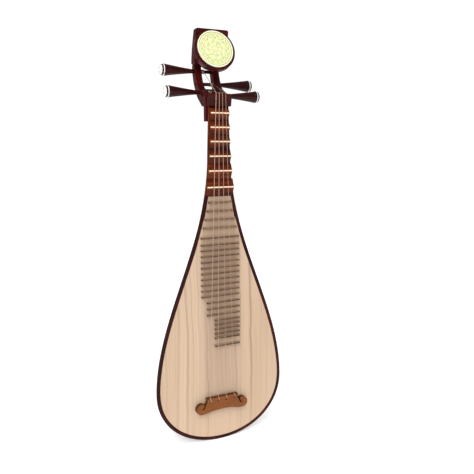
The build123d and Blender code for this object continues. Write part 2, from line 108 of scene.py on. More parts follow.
# ---- meshes -----------------------------------------------------------------
def new_object(name: str, data: bpy.types.ID) -> Object:
    """Put mesh or curve data in the scene at the origin.

    Args:
        name: the object's name.
        data: its mesh or curve.

    Returns:
        The new object.
    """
    made = bpy.data.objects.new(name, data)
    bpy.context.scene.collection.objects.link(made)
    return made


def face_outwards(mesh: bpy.types.Mesh, smooth: bool = True, merged: bool = True) -> None:
    """Turn a closed mesh's faces outwards and shade them.

    Args:
        mesh: the mesh, which is changed.
        smooth: whether its faces are shaded smooth.
        merged: whether corners that meet are merged first.
    """
    work = bmesh.new()
    work.from_mesh(mesh)
    if merged:
        bmesh.ops.remove_doubles(work, verts=work.verts, dist=2e-6)
        bmesh.ops.dissolve_degenerate(work, dist=1e-7, edges=work.edges)
    bmesh.ops.recalc_face_normals(work, faces=work.faces)
    for face in work.faces:
        face.smooth = smooth
    work.to_mesh(mesh)
    work.free()


def mesh_object(name: str, points: Iterable[Sequence[float]], faces: Iterable[Sequence[int]],
                smooth: bool = True) -> Object:
    """Make a clean closed mesh from points in millimetres.

    Args:
        name: the object's name.
        points: its corners.
        faces: corner numbers of each face.
        smooth: whether its faces are shaded smooth.

    Returns:
        The object, with doubles merged and its faces turned outwards.
    """
    mesh = bpy.data.meshes.new(name)
    mesh.from_pydata([Vector(p) * MM for p in points], [], [list(f) for f in faces])
    face_outwards(mesh, smooth)
    return new_object(name, mesh)


def loft(name: str, rings: Sequence[Sequence[Sequence[float]]], smooth: bool = True,
         closed_tube: bool = False) -> Object:
    """Skin a run of rings that have equal numbers of points.

    Args:
        name: the object's name.
        rings: closed rings of points, in order.
        smooth: whether its faces are shaded smooth.
        closed_tube: whether the last ring joins the first, in place of two caps.

    Returns:
        The skinned object.
    """
    count = len(rings[0])
    points = [p for ring in rings for p in ring]
    faces: list[list[int]] = []
    spans = len(rings) if closed_tube else len(rings) - 1
    for row in range(spans):
        here, there = row * count, ((row + 1) % len(rings)) * count
        for i in range(count):
            j = (i + 1) % count
            faces.append([here + i, here + j, there + j, there + i])
    if not closed_tube:
        faces.append(list(range(count)))
        faces.append(list(range((len(rings) - 1) * count, len(rings) * count)))
    return mesh_object(name, points, faces, smooth)


def full_turn(steps: int) -> list[float]:
    """Angles of equal steps round a circle."""
    return [2 * math.pi * i / steps for i in range(steps)]


def about_x(centre: Point, out: float, radius: float, turn: float) -> Point:
    """Point at a radius and an angle about a line along X."""
    return centre[0] + out, centre[1] + radius * math.cos(turn), centre[2] + radius * math.sin(turn)


def turned(name: str, outline: Sequence[Flat], centre: Point, side: int, steps: int = 64,
           wave: Optional[Callable[[float, float], float]] = None) -> Object:
    """Turn an outline about a line along X.

    Args:
        name: the object's name.
        outline: (distance outwards, radius) pairs, from one end to the other.
        centre: a point on the line.
        side: -1 or 1, the way that outwards runs along X.
        steps: points in each ring.
        wave: factor on the radius at (distance, angle), for flutes.

    Returns:
        The turned object.
    """
    rings = [[about_x(centre, side * out, radius * (wave(out, turn) if wave else 1.0), turn)
              for turn in full_turn(steps)] for out, radius in outline]
    return loft(name, rings)


def freeze(source: Object, name: Optional[str] = None) -> Object:
    """Turn an object with live modifiers, or a curve, into a plain mesh object.

    Args:
        source: the object, which is removed.
        name: the new object's name, or None to keep the old one.

    Returns:
        The plain mesh object.
    """
    title = name or source.name
    source.name = title + "_source"
    bpy.context.view_layer.update()
    graph = bpy.context.evaluated_depsgraph_get()
    mesh = bpy.data.meshes.new_from_object(source.evaluated_get(graph), depsgraph=graph)
    mesh.name = title
    bpy.data.objects.remove(source)
    return new_object(title, mesh)


def bevelled(source: Object, width: float, segments: int = 3,
             angle: float = 32.0) -> Object:
    """Round an object's sharp edges and make the result a plain mesh.

    Args:
        source: the object, which is replaced.
        width: width of the rounding, in millimetres.
        segments: facets across the rounding.
        angle: edges sharper than this many degrees are rounded.

    Returns:
        The rounded object.
    """
    if width <= 0:
        return source
    rounding = source.modifiers.new("rounding", "BEVEL")
    rounding.width = width * MM
    rounding.segments = segments
    rounding.limit_method = "ANGLE"
    rounding.angle_limit = math.radians(angle)
    rounding.harden_normals = True
    for face in source.data.polygons:
        face.use_smooth = True
    return freeze(source)


def softened(node: str, name: str, width: float, segments: int = 3) -> Object:
    """Copy a CAD node, join its loose triangles and round its sharp edges.

    Args:
        node: the CAD node's name.
        name: the new piece's name.
        width: width of the rounding, in millimetres.
        segments: facets across the rounding.

    Returns:
        The rounded copy, which stands for the node.
    """
    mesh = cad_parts[node].data.copy()
    mesh.name = name
    mesh.materials.clear()
    if mesh.has_custom_normals:
        mesh.attributes.remove(mesh.attributes["custom_normal"])
    tidy = bmesh.new()
    tidy.from_mesh(mesh)
    bmesh.ops.remove_doubles(tidy, verts=tidy.verts, dist=1e-6)
    bmesh.ops.dissolve_limit(tidy, angle_limit=math.radians(1.2), verts=tidy.verts,
                             edges=tidy.edges)
    tidy.to_mesh(mesh)
    tidy.free()
    return bevelled(new_object(name, mesh), width, segments)


def joined(name: str, parts: Sequence[Object]) -> Object:
    """Join plain mesh objects into one.

    Args:
        name: the new object's name.
        parts: the objects, which are removed.

    Returns:
        One object that holds them all, with their materials.
    """
    whole = bmesh.new()
    slots: list[Material] = []
    for part in parts:
        start = len(whole.faces)
        whole.from_mesh(part.data)
        whole.faces.ensure_lookup_table()
        own = list(part.data.materials)
        for material in own:
            if material not in slots:
                slots.append(material)
        for face in whole.faces[start:]:
            if own:
                face.material_index = slots.index(own[min(face.material_index, len(own) - 1)])
    mesh = bpy.data.meshes.new(name)
    whole.to_mesh(mesh)
    whole.free()
    for material in slots:
        mesh.materials.append(material)
    for part in parts:
        bpy.data.objects.remove(part)
    return new_object(name, mesh)


def place(piece: Object, body: str, slot: str, *nodes: str,
          material: Optional[Material] = None) -> Object:
    """Give a finished piece its body, hide the nodes it stands for and set its material if one is
    given.

    Args:
        piece: the finished piece.
        body: the CAD body that it rides on.
        slot: not used.
        nodes: CAD nodes that it replaces.
        material: its material, where it has none yet.

    Returns:
        The same piece.
    """
    if material is not None:
        piece.data.materials.clear()
        piece.data.materials.append(material)
    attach(piece, body)
    if nodes:
        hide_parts(*nodes)
    log.info("%s: %d faces on %s", piece.name, len(piece.data.polygons), body)
    return piece


def place_softened(node: str, name: str, width: float, slot: str, material: Material,
                   segments: int = 3) -> None:
    """Round a CAD node's edges and place the copy on the instrument in its stead."""
    place(softened(node, name, width, segments), ROOT, slot, node, material=material)


# ---- node trees -------------------------------------------------------------
class NodeTree:
    """A tree of nodes, built a node at a time."""

    def __init__(self, tree: bpy.types.NodeTree) -> None:
        """Work on a tree.

        Args:
            tree: the tree to build in.
        """
        self.tree = tree

    def fill(self, socket: Socket, value: object) -> None:
        """Link a socket to another, or set its value."""
        if isinstance(value, Socket):
            self.tree.links.new(value, socket)
        elif isinstance(value, tuple) and socket.type == "RGBA":
            socket.default_value = (*value, 1.0)
        elif value is not None:
            socket.default_value = value

    def node(self, kind: str, *inputs: object, named: Optional[dict[str, object]] = None,
             **settings: object) -> bpy.types.Node:
        """Add a node and fill its inputs.

        Args:
            kind: the node's type.
            inputs: sockets to link or values to set, in order.
            named: the same by the input's name.
            settings: the node's properties.

        Returns:
            The node.
        """
        made = self.tree.nodes.new(kind)
        for key, value in settings.items():
            setattr(made, key, value)
        for socket, value in zip([s for s in made.inputs if s.enabled], inputs):
            self.fill(socket, value)
        for key, value in (named or {}).items():
            self.fill(made.inputs[key], value)
        return made

    def maths(self, operation: str, first: Socket | float, second: Socket | float = 0.0) -> Socket:
        """Combine two values."""
        return self.node("ShaderNodeMath", first, second, operation=operation).outputs[0]

    def vector(self, x: Socket | float, y: Socket | float, z: Socket | float) -> Socket:
        """Combine three values into a vector."""
        return self.node("ShaderNodeCombineXYZ", x, y, z).outputs[0]


# ---- materials --------------------------------------------------------------
class Grain(Enum):
    """Which way the grain of a wooden piece runs."""

    ALONG_X = 0
    ALONG_Y = 1
    ALONG_Z = 2


def from_screen(screen: Screen) -> Colour:
    """Colour in the shader's linear scale from screen values of 0 to 255."""
    def linear(value: float) -> float:
        share = value / 255
        return share / 12.92 if share <= 0.04045 else ((share + 0.055) / 1.055) ** 2.4
    red, green, blue = screen
    return linear(red), linear(green), linear(blue)


def band(*stops: tuple[float, Screen]) -> list[tuple[float, Colour]]:
    """Stops of a ramp whose colours are given as screen values."""
    return [(at, from_screen(screen)) for at, screen in stops]


class Shading(NodeTree):
    """A material's node tree."""

    def __init__(self, name: str) -> None:
        """Start a material with an empty principled shader.

        Args:
            name: the material's name.
        """
        self.material = bpy.data.materials.new(name)
        self.material.use_nodes = True
        super().__init__(self.material.node_tree)
        self.shader = self.tree.nodes["Principled BSDF"]
        self.place = self.node("ShaderNodeTexCoord").outputs["Object"]

    def set(self, **values: object) -> None:
        """Fill the shader's own sockets, named with _ for a space."""
        for key, value in values.items():
            self.fill(self.shader.inputs[key.replace("_", " ")], value)

    def axis(self, name: str) -> Socket:
        """Object coordinate along one axis, in metres."""
        return self.node("ShaderNodeSeparateXYZ", self.place).outputs[name]

    def stretched(self, scale: Point) -> Socket:
        """Object coordinates, in metres, scaled along each axis."""
        return self.node("ShaderNodeMapping", named={
            "Scale": scale, "Vector": self.place}).outputs[0]

    def noise(self, vector: Socket, scale: float, detail: float = 4.0, rough: float = 0.55,
              distortion: float = 0.0) -> Socket:
        """Noise between 0 and 1 over a vector."""
        return self.node("ShaderNodeTexNoise", named={
            "Vector": vector, "Scale": scale, "Detail": detail, "Roughness": rough,
            "Distortion": distortion}).outputs["Fac"]

    def ramp(self, factor: Socket, stops: Sequence[tuple[float, Colour]]) -> Socket:
        """Colours along a factor."""
        made = self.node("ShaderNodeValToRGB", named={"Fac": factor})
        elements = made.color_ramp.elements
        while len(elements) < len(stops):
            elements.new(0.5)
        for element, (at, colour) in zip(elements, stops):
            element.position = at
            element.color = (*colour, 1.0)
        return made.outputs["Color"]

    def span(self, factor: Socket, low: float, high: float, start: float = 0.0,
             end: float = 1.0) -> Socket:
        """Carry a factor from low..high over to start..end."""
        return self.node("ShaderNodeMapRange", named={
            "Value": factor, "From Min": low, "From Max": high, "To Min": start,
            "To Max": end}).outputs["Result"]

    def mix(self, factor: Socket | float, first: Socket | Colour, second: Socket | Colour,
            blend: str = "MIX") -> Socket:
        """Mix two colours."""
        made = self.node("ShaderNodeMix", data_type="RGBA", blend_type=blend)
        for number, value in ((0, factor), (6, first), (7, second)):
            self.fill(made.inputs[number], value)
        return made.outputs[2]

    def shaded(self, factor: float, colour: Socket, shade: Socket | Colour) -> Socket:
        """Multiply a colour by a shade."""
        return self.mix(factor, colour, shade, "MULTIPLY")

    def bump(self, height: Socket, depth: float, strength: float = 1.0) -> None:
        """Raise the surface by a height of 0 to 1, depth in millimetres."""
        made = self.node("ShaderNodeBump", named={
            "Strength": strength, "Distance": depth * MM, "Height": height})
        self.set(Normal=made.outputs["Normal"])

    def colour(self, socket: Socket) -> None:
        """Use a colour as the base colour."""
        self.set(Base_Color=socket)

    def roughness(self, socket: Socket) -> None:
        """Use a value as the roughness."""
        self.set(Roughness=socket)


@dataclass(frozen=True)
class Hardwood:
    """Dense polished wood with fine pores and slow dark figure, and optionally painted shade in
    hollows and a painted highlight on ridges.
    """

    name: str
    dark: Screen
    middle: Screen
    light: Screen
    grain: Grain = Grain.ALONG_Z
    figure: float = 26.0
    gloss: float = 0.34
    coat: float = 0.06
    shine: float = 0.1
    pores: float = 0.06
    hollow_y: float = 0.0
    ridge_y: float = 0.0

    def stretch(self, along: float, across: float) -> Point:
        """Scale of a pattern along and across the grain."""
        scale = [across] * 3
        scale[self.grain.value] = along
        return scale[0], scale[1], scale[2]

    def build(self) -> Material:
        """Make the material."""
        made = Shading(self.name)
        broad = made.noise(made.stretched(self.stretch(0.16, 1.0)), self.figure, 5, 0.6, 0.9)
        fine = made.noise(made.stretched(self.stretch(0.035, 1.0)), 900.0, 3, 0.6)
        cloud = made.noise(made.place, 9.0, 2)
        wood = made.ramp(made.span(broad, 0.28, 0.74),
                         band((0.0, self.dark), (0.5, self.middle), (1.0, self.light)))
        shade = made.ramp(made.span(fine, 0.36, 0.64), ((0.0, (0.6, 0.58, 0.56)), (1.0, (1, 1, 1))))
        wood = made.shaded(0.55, wood, shade)
        patch = made.ramp(cloud, ((0.3, (0.82, 0.8, 0.8)), (0.7, (1.08, 1.06, 1.05))))
        wood = made.shaded(0.6, wood, patch)
        # Painted shade and highlight: darker towards the hollows and lighter towards the ridges, by
        # depth along Y.
        if self.hollow_y != self.ridge_y:
            rise = made.span(made.axis("Y"), self.hollow_y * MM, self.ridge_y * MM)
            tone = made.ramp(rise, ((0.0, (0.42, 0.36, 0.34)), (0.45, (0.8, 0.76, 0.72)),
                                    (1.0, (1.3, 1.3, 1.25))))
            wood = made.shaded(1.0, wood, tone)
        made.colour(wood)
        made.roughness(made.span(fine, 0.2, 0.8, self.gloss + 0.1, self.gloss - 0.06))
        made.set(Coat_Weight=self.coat, Coat_Roughness=0.14, Specular_IOR_Level=self.shine)
        made.bump(fine, self.pores)
        return made.material


@dataclass(frozen=True)
class Softwood:
    """Bare pale board with straight dark growth lines that wander a little, and an optional painted
    shade down its middle.
    """

    name: str
    pale: Screen
    warm: Screen
    line: Screen
    played: Colour = (1.0, 1.0, 1.0)
    played_half: float = 40.0
    played_from: float = 250.0
    spacing: float = 7.5

    def build(self) -> Material:
        """Make the material."""
        made = Shading(self.name)
        across, up = made.axis("X"), made.axis("Z")
        for scale, reach in (((5.0, 5.0, 1.1), 0.055), ((15.0, 15.0, 10.0), 0.011)):
            drift = made.maths("SUBTRACT", made.noise(made.stretched(scale), 1.0, 2, 0.5), 0.5)
            across = made.maths("ADD", across, made.maths("MULTIPLY", drift, reach))
        moved = made.vector(across, 0.0, made.maths("MULTIPLY", up, 0.004))
        lines = made.noise(moved, 1000 / self.spacing, 3, 0.65)
        thin = made.noise(moved, 4200 / self.spacing, 2, 0.6)
        broad = made.noise(made.stretched((16.0, 16.0, 1.6)), 1.0, 3, 0.55)
        wood = made.ramp(made.span(broad, 0.32, 0.68), band((0.0, self.pale), (1.0, self.warm)))
        mask = made.ramp(lines, ((0.30, (1, 1, 1)), (0.44, (0.12, 0.12, 0.12)),
                                 (0.56, (0, 0, 0)), (0.68, (0.22, 0.22, 0.22))))
        wood = made.mix(mask, wood, made.mix(0.62, wood, from_screen(self.line)))
        faint = made.ramp(thin, ((0.35, (0.90, 0.88, 0.86)), (0.6, (1.02, 1.02, 1.02))))
        wood = made.shaded(0.55, wood, faint)
        # Painted shade: the middle of the board darkens from above the bridge upwards, standing in
        # for the shade that the pins and strings cast.
        reach = made.span(made.maths("ABSOLUTE", made.axis("X")), self.played_half * MM,
                          (self.played_half + 16) * MM, 1.0, 0.0)
        rise = made.span(up, 0.2 * self.played_from * MM, 1.24 * self.played_from * MM)
        height = made.ramp(rise, ((0.0, (0, 0, 0)), (0.35, (0.8, 0.8, 0.8)),
                                  (0.75, (0.9, 0.9, 0.9)), (1.0, (1, 1, 1))))
        made.colour(made.mix(made.maths("MULTIPLY", reach, height), wood,
                             made.shaded(1.0, wood, self.played)))
        made.roughness(made.span(thin, 0.3, 0.7, 0.62, 0.5))
        made.set(Specular_IOR_Level=0.3, Sheen_Weight=0.05)
        made.bump(thin, 0.05, 0.6)
        return made.material


@dataclass(frozen=True)
class Bamboo:
    """Satin bamboo: dark fibre flecks and streaks, with another colour from crest_y forwards, which
    carries painted shade on the bridge and partly on the pins.
    """

    name: str
    body: Screen
    fleck: Screen
    crest: Screen
    streak: Screen
    crest_y: float
    crest_blend: float = 0.8
    gloss: float = 0.42

    def build(self) -> Material:
        """Make the material."""
        made = Shading(self.name)
        fibre = made.noise(made.stretched((0.06, 1.0, 1.0)), 1500.0, 3, 0.6)
        streak = made.noise(made.stretched((0.14, 1.0, 1.0)), 240.0, 4, 0.6, 0.7)
        tone = made.noise(made.place, 38.0, 3)
        # Painted shade: on the bridge, the body colour behind crest_y stands in for shade on its
        # top, sides and rounded edges. On the pins, the dark crest is partly their own skin and
        # partly painted shadow.
        top = self.crest_y * MM
        rise = made.span(made.axis("Y"), top + self.crest_blend * MM, top)
        wood = made.mix(rise, from_screen(self.body), from_screen(self.crest))
        wood = made.mix(made.span(fibre, 0.62, 0.4, 0.0, 0.5), wood, from_screen(self.fleck))
        wood = made.mix(made.span(streak, 0.42, 0.66, 0.0, 0.6), wood, from_screen(self.streak))
        shade = made.ramp(tone, ((0.3, (0.86, 0.84, 0.82)), (0.7, (1.05, 1.04, 1.03))))
        made.colour(made.shaded(0.7, wood, shade))
        made.roughness(made.span(fibre, 0.3, 0.7, self.gloss + 0.12, self.gloss))
        made.set(Specular_IOR_Level=0.22, Coat_Weight=0.04, Coat_Roughness=0.25)
        made.bump(fibre, 0.05, 0.7)
        return made.material


@dataclass(frozen=True)
class Bone:
    """Pale bone with faint cloudy veins and a polished surface."""

    name: str
    pale: Screen
    vein: Screen
    gloss: float = 0.28

    def build(self) -> Material:
        """Make the material."""
        made = Shading(self.name)
        cloud = made.noise(made.place, 120.0, 5, 0.6, 0.8)
        speck = made.noise(made.place, 900.0, 2)
        made.colour(made.mix(made.span(cloud, 0.52, 0.78), from_screen(self.pale),
                             from_screen(self.vein)))
        made.roughness(made.span(speck, 0.3, 0.7, self.gloss, self.gloss + 0.1))
        made.set(Subsurface_Weight=0.12, Subsurface_Scale=0.002, Coat_Weight=0.2,
                 Coat_Roughness=0.1)
        made.bump(speck, 0.02, 0.5)
        return made.material


@dataclass(frozen=True)
class CarvedBone:
    """Bone whose carved hollows hold a darker stain, read from the carving's own height."""

    name: str
    high: Screen
    low: Screen
    tint: Screen
    attribute: str = "relief"

    def build(self) -> Material:
        """Make the material."""
        made = Shading(self.name)
        depth = made.node("ShaderNodeAttribute", attribute_name=self.attribute).outputs["Fac"]
        cloud = made.noise(made.place, 75.0, 4, 0.6, 0.6)
        speck = made.noise(made.place, 800.0, 2)
        stain = made.ramp(depth, band((0.0, self.low), (0.55, self.high), (1.0, self.high)))
        made.colour(made.mix(made.span(cloud, 0.5, 0.72, 0.0, 0.55), stain, from_screen(self.tint)))
        made.roughness(made.span(depth, 0.0, 1.0, 0.62, 0.36))
        made.set(Subsurface_Weight=0.1, Subsurface_Scale=0.0015, Coat_Weight=0.1)
        made.bump(speck, 0.03, 0.5)
        return made.material


@dataclass(frozen=True)
class WoundString:
    """Nylon string with a fine wound surface."""

    name: str
    colour: Screen
    groove: Screen
    pitch: float = 0.9

    def build(self) -> Material:
        """Make the material."""
        made = Shading(self.name)
        turns = made.node("ShaderNodeTexWave", wave_type="BANDS", bands_direction="DIAGONAL",
                          named={"Scale": 300.0 / self.pitch, "Vector": made.place})
        tone = made.noise(made.place, 60.0, 2)
        made.colour(made.mix(made.span(turns.outputs["Fac"], 0.0, 1.0, 0.0, 0.7),
                             from_screen(self.groove), from_screen(self.colour)))
        made.roughness(made.span(tone, 0.3, 0.7, 0.3, 0.42))
        made.set(Specular_IOR_Level=0.55, Coat_Weight=0.2)
        made.bump(turns.outputs["Fac"], 0.06)
        return made.material


@dataclass(frozen=True)
class Studio:
    """Matt white floor that glows a little, so that shadows on it stay faint."""

    name: str
    colour: Colour
    glow: float = 0.5

    def build(self) -> Material:
        """Make the material."""
        made = Shading(self.name)
        fleck = made.noise(made.place, 14.0, 3)
        tint = tuple(c * 0.985 for c in self.colour)
        made.colour(made.mix(fleck, self.colour, (tint[0], tint[1], tint[2])))
        made.set(Roughness=0.85, Specular_IOR_Level=0.1, Emission_Color=(1.0, 1.0, 1.0),
                 Emission_Strength=self.glow)
        return made.material


class Finishes:
    """Every finish of the pipa, each made once."""

    def __init__(self) -> None:
        """Make the materials."""
        self.rim = Hardwood("back_rosewood", (30, 5, 4), (54, 12, 9),
                            (80, 24, 16), gloss=0.34).build()
        self.head = Hardwood("head_rosewood", (38, 5, 5), (72, 15, 12),
                             (98, 30, 23), gloss=0.3).build()
        self.nut = Hardwood("nut_rosewood", (40, 9, 6), (62, 18, 12),
                            (80, 27, 17), Grain.ALONG_X, gloss=0.4).build()
        self.neck = Hardwood("neck_rosewood", (66, 22, 8), (112, 44, 20),
                             (142, 64, 30), gloss=0.34).build()
        # The xiang's hollows carry painted shade and its ridges carry a painted highlight.
        self.xiang = Hardwood("xiang_hardwood", (54, 15, 3), (108, 44, 15),
                              (156, 74, 26), Grain.ALONG_X, figure=60.0, gloss=0.3,
                              hollow_y=-1.6, ridge_y=-9.5).build()
        self.peg = Hardwood("peg_blackwood", (38, 7, 7), (54, 13, 12),
                            (66, 19, 18), Grain.ALONG_X, gloss=0.2, coat=0.14).build()
        # The last colour is the painted shade that the pins and strings cast on the board.
        self.board = Softwood("soundboard_paulownia", (212, 185, 159),
                              (202, 173, 145), (140, 110, 88),
                              (0.80, 0.79, 0.79)).build()
        self.brace = Softwood("brace_spruce", (216, 190, 150),
                              (200, 170, 130), (160, 126, 90)).build()
        self.strip = Bone("strip_bone", (255, 236, 205), (238, 205, 170)).build()
        self.medallion_rim = Bone("medallion_rim_bone", (255, 255, 226),
                                  (244, 240, 205)).build()
        self.trim = Bone("peg_trim_bone", (250, 250, 246), (228, 228, 222),
                         0.2).build()
        self.medallion = CarvedBone("medallion_carved_bone", (238, 238, 184),
                                    (168, 176, 104), (188, 222, 140)).build()
        self.string = WoundString("string_wound_nylon", (222, 184, 164),
                                  (178, 138, 120)).build()
        self.dark_line = Hardwood("bridge_edge_wood", (50, 28, 18),
                                  (70, 42, 28), (92, 58, 38),
                                  Grain.ALONG_X, gloss=0.4).build()


# ---- geometry nodes ---------------------------------------------------------
class NodeGraph(NodeTree):
    """A geometry node tree with named inputs."""

    def __init__(self, name: str) -> None:
        """Start a tree with one geometry output.

        Args:
            name: the tree's name.
        """
        super().__init__(bpy.data.node_groups.new(name, "GeometryNodeTree"))
        self.tree.interface.new_socket("Geometry", in_out="OUTPUT",
                                       socket_type="NodeSocketGeometry")
        self.given = self.tree.nodes.new("NodeGroupInput")
        self.names: dict[str, str] = {}

    def take(self, name: str, kind: str = "Float") -> Socket:
        """Add a named input.

        Args:
            name: the input's name.
            kind: Float, Int, Vector, Object or Material.

        Returns:
            The socket that gives its value inside the tree.
        """
        made = self.tree.interface.new_socket(name, in_out="INPUT",
                                              socket_type=f"NodeSocket{kind}")
        self.names[name] = made.identifier
        return next(s for s in self.given.outputs if s.identifier == made.identifier)

    def piped(self, line: Socket, radius: Socket, sides: Socket | int) -> Socket:
        """Give a curve a round section with closed ends."""
        ring = self.node("GeometryNodeCurvePrimitiveCircle", mode="RADIUS",
                         named={"Resolution": sides, "Radius": radius})
        return self.node("GeometryNodeCurveToMesh", line, named={
            "Profile Curve": ring.outputs[0], "Fill Caps": True}).outputs[0]

    def close(self, geometry: Socket, material: Socket) -> None:
        """End the tree in Realize Instances and Set Material.

        Args:
            geometry: what the tree has made.
            material: the input that names its material.
        """
        real = self.node("GeometryNodeRealizeInstances", geometry)
        dressed = self.node("GeometryNodeSetMaterial", real.outputs[0],
                            named={"Material": material})
        self.node("NodeGroupOutput", dressed.outputs[0])

    def grow(self, name: str, values: dict[str, object]) -> Object:
        """Run the tree and keep its result as a plain mesh object.

        Args:
            name: the object's name.
            values: the value of each named input.

        Returns:
            The plain mesh object.
        """
        seed = new_object(name, bpy.data.meshes.new(name + "_seed"))
        maker = seed.modifiers.new("maker", "NODES")
        maker.node_group = self.tree
        for key, value in values.items():
            maker[self.names[key]] = value
        made = freeze(seed)
        for face in made.data.polygons:
            face.use_smooth = True
        return made


def pin_rows() -> NodeGraph:
    """Tree that sets out a ladder of pins whose two ends step evenly from pin to pin."""
    graph = NodeGraph("pin_rows")
    pin = graph.take("Pin", "Object")
    count = graph.take("Count", "Int")
    first, step = graph.take("First Height"), graph.take("Height Step")
    left, left_step = graph.take("Left End"), graph.take("Left Step")
    right, right_step = graph.take("Right End"), graph.take("Right Step")
    material = graph.take("Material", "Material")
    line = graph.node("GeometryNodeMeshLine", mode="OFFSET", count_mode="TOTAL", named={
        "Count": count, "Start Location": graph.vector(0.0, 0.0, first),
        "Offset": graph.vector(0.0, 0.0, step)})
    index = graph.node("GeometryNodeInputIndex").outputs[0]
    marked = graph.node("GeometryNodeStoreNamedAttribute", line.outputs[0], data_type="FLOAT",
                        domain="POINT", named={"Name": "row", "Value": index})
    shape = graph.node("GeometryNodeObjectInfo", pin).outputs["Geometry"]
    spread = graph.node("GeometryNodeInstanceOnPoints", marked.outputs[0],
                        named={"Instance": shape})
    real = graph.node("GeometryNodeRealizeInstances", spread.outputs[0]).outputs[0]

    def attribute(title: str) -> Socket:
        """Read a float attribute."""
        return graph.node("GeometryNodeInputNamedAttribute", title, data_type="FLOAT").outputs[0]

    row = attribute("row")
    shifts = []
    for mark, end, end_step in (("left_end", left, left_step), ("right_end", right, right_step)):
        reach = graph.maths("ADD", end, graph.maths("MULTIPLY", end_step, row))
        shifts.append(graph.maths("MULTIPLY", attribute(mark), reach))
    moved = graph.node("GeometryNodeSetPosition", real, named={
        "Offset": graph.vector(graph.maths("ADD", *shifts), 0.0, 0.0)})
    graph.close(moved.outputs[0], material)
    return graph


def wire_runs() -> NodeGraph:
    """Tree that gives a path a round section."""
    graph = NodeGraph("wire_runs")
    path = graph.take("Path", "Object")
    radius = graph.take("Radius")
    sides = graph.take("Sides", "Int")
    material = graph.take("Material", "Material")
    line = graph.node("GeometryNodeObjectInfo", path).outputs["Geometry"]
    graph.close(graph.piped(line, radius, sides), material)
    return graph


def coils() -> NodeGraph:
    """Tree that winds a wire along X about a point."""
    graph = NodeGraph("coils")
    turns, radius = graph.take("Turns"), graph.take("Radius")
    length, wire = graph.take("Length"), graph.take("Wire Radius")
    centre = graph.take("Centre", "Vector")
    material = graph.take("Material", "Material")
    spiral = graph.node("GeometryNodeCurveSpiral", named={
        "Resolution": 28, "Rotations": turns, "Start Radius": radius, "End Radius": radius,
        "Height": length})
    tube = graph.piped(spiral.outputs[0], wire, 8)
    down = graph.vector(0.0, 0.0, graph.maths("MULTIPLY", length, -0.5))
    centred = graph.node("GeometryNodeTransform", tube, named={"Translation": down})
    laid = graph.node("GeometryNodeTransform", centred.outputs[0], named={
        "Rotation": (0.0, math.radians(90), 0.0), "Translation": centre})
    graph.close(laid.outputs[0], material)
    return graph


# ---- body -------------------------------------------------------------------
def smoothstep(value: float) -> float:
    """Ease from 0 to 1 as the value goes from 0 to 1."""
    share = min(max(value, 0.0), 1.0)
    return share * share * (3 - 2 * share)


@dataclass
class Outline:
    """Plan of the body and neck, seen from the front."""

    half_width: float = 166.5
    widest_z: float = 142.5
    fullness: float = 2.08
    taper_past_joint: float = 96.5
    taper_bend: float = 0.94
    neck_low: float = 28.5
    neck_high: float = 25.0
    ring_steps: tuple[int, int, int] = (40, 55, 6)      # below the widest place, above, top
    neck_joint_z: float = field(default_factory=lambda: Extent.of("neck").low.z)
    neck_top_z: float = field(default_factory=lambda: Extent.of("neck").high.z)

    @property
    def taper_end_z(self) -> float:
        """Height at which the shoulder curve runs out into the neck."""
        return self.neck_joint_z + self.taper_past_joint

    def half(self, z: float) -> float:
        """Half width at height z."""
        if z <= self.widest_z:
            away = (self.widest_z - z) / self.widest_z
            return self.half_width * (1 - away ** self.fullness) ** (1 / self.fullness)
        if z <= self.taper_end_z:
            along = (z - self.widest_z) / (self.taper_end_z - self.widest_z)
            wave = (1 + math.cos(math.pi * along ** self.taper_bend)) / 2
            return self.neck_low + (self.half_width - self.neck_low) * wave
        along = (z - self.taper_end_z) / (self.neck_top_z - self.taper_end_z)
        return self.neck_low + (self.neck_high - self.neck_low) * along

    def inset(self, z: float, amount: float) -> float:
        """Half width at height z, above the widest place, of the outline set in by amount."""
        slope = (self.half(z + 1) - self.half(z - 1)) / 2
        return self.half(z) - amount * math.sqrt(1 + slope * slope)

    def ring(self, amount: float, top_z: float) -> list[Flat]:
        """Closed ring of the outline set in by amount and cut off at top_z.

        Args:
            amount: how far the ring lies inside the outline.
            top_z: height at which it is cut straight across.

        Returns:
            (x, z) points, anticlockwise from the bottom, as many for every ring.
        """
        low, high = self.widest_z, top_z
        if self.inset(top_z, amount) < 0:
            for _ in range(40):
                middle = (low + high) / 2
                low, high = (middle, high) if self.inset(middle, amount) > 0 else (low, middle)
        else:
            low = top_z
        power = 2 / self.fullness
        width, tall = self.half_width - amount, self.widest_z - amount
        below, above, across = self.ring_steps
        right: list[Flat] = []
        for i in range(below):
            turn = math.pi / 2 * (i / below)
            right.append((width * math.sin(turn) ** power,
                          self.widest_z - tall * math.cos(turn) ** power))
        for i in range(above + 1):
            z = self.widest_z + (low - self.widest_z) * i / above
            right.append((max(self.inset(z, amount), 0.0), z))
        end = right[-1][0]
        right += [(end * (1 - i / across), low) for i in range(1, across + 1)]
        return right + [(-x, z) for x, z in reversed(right[1:-1])]


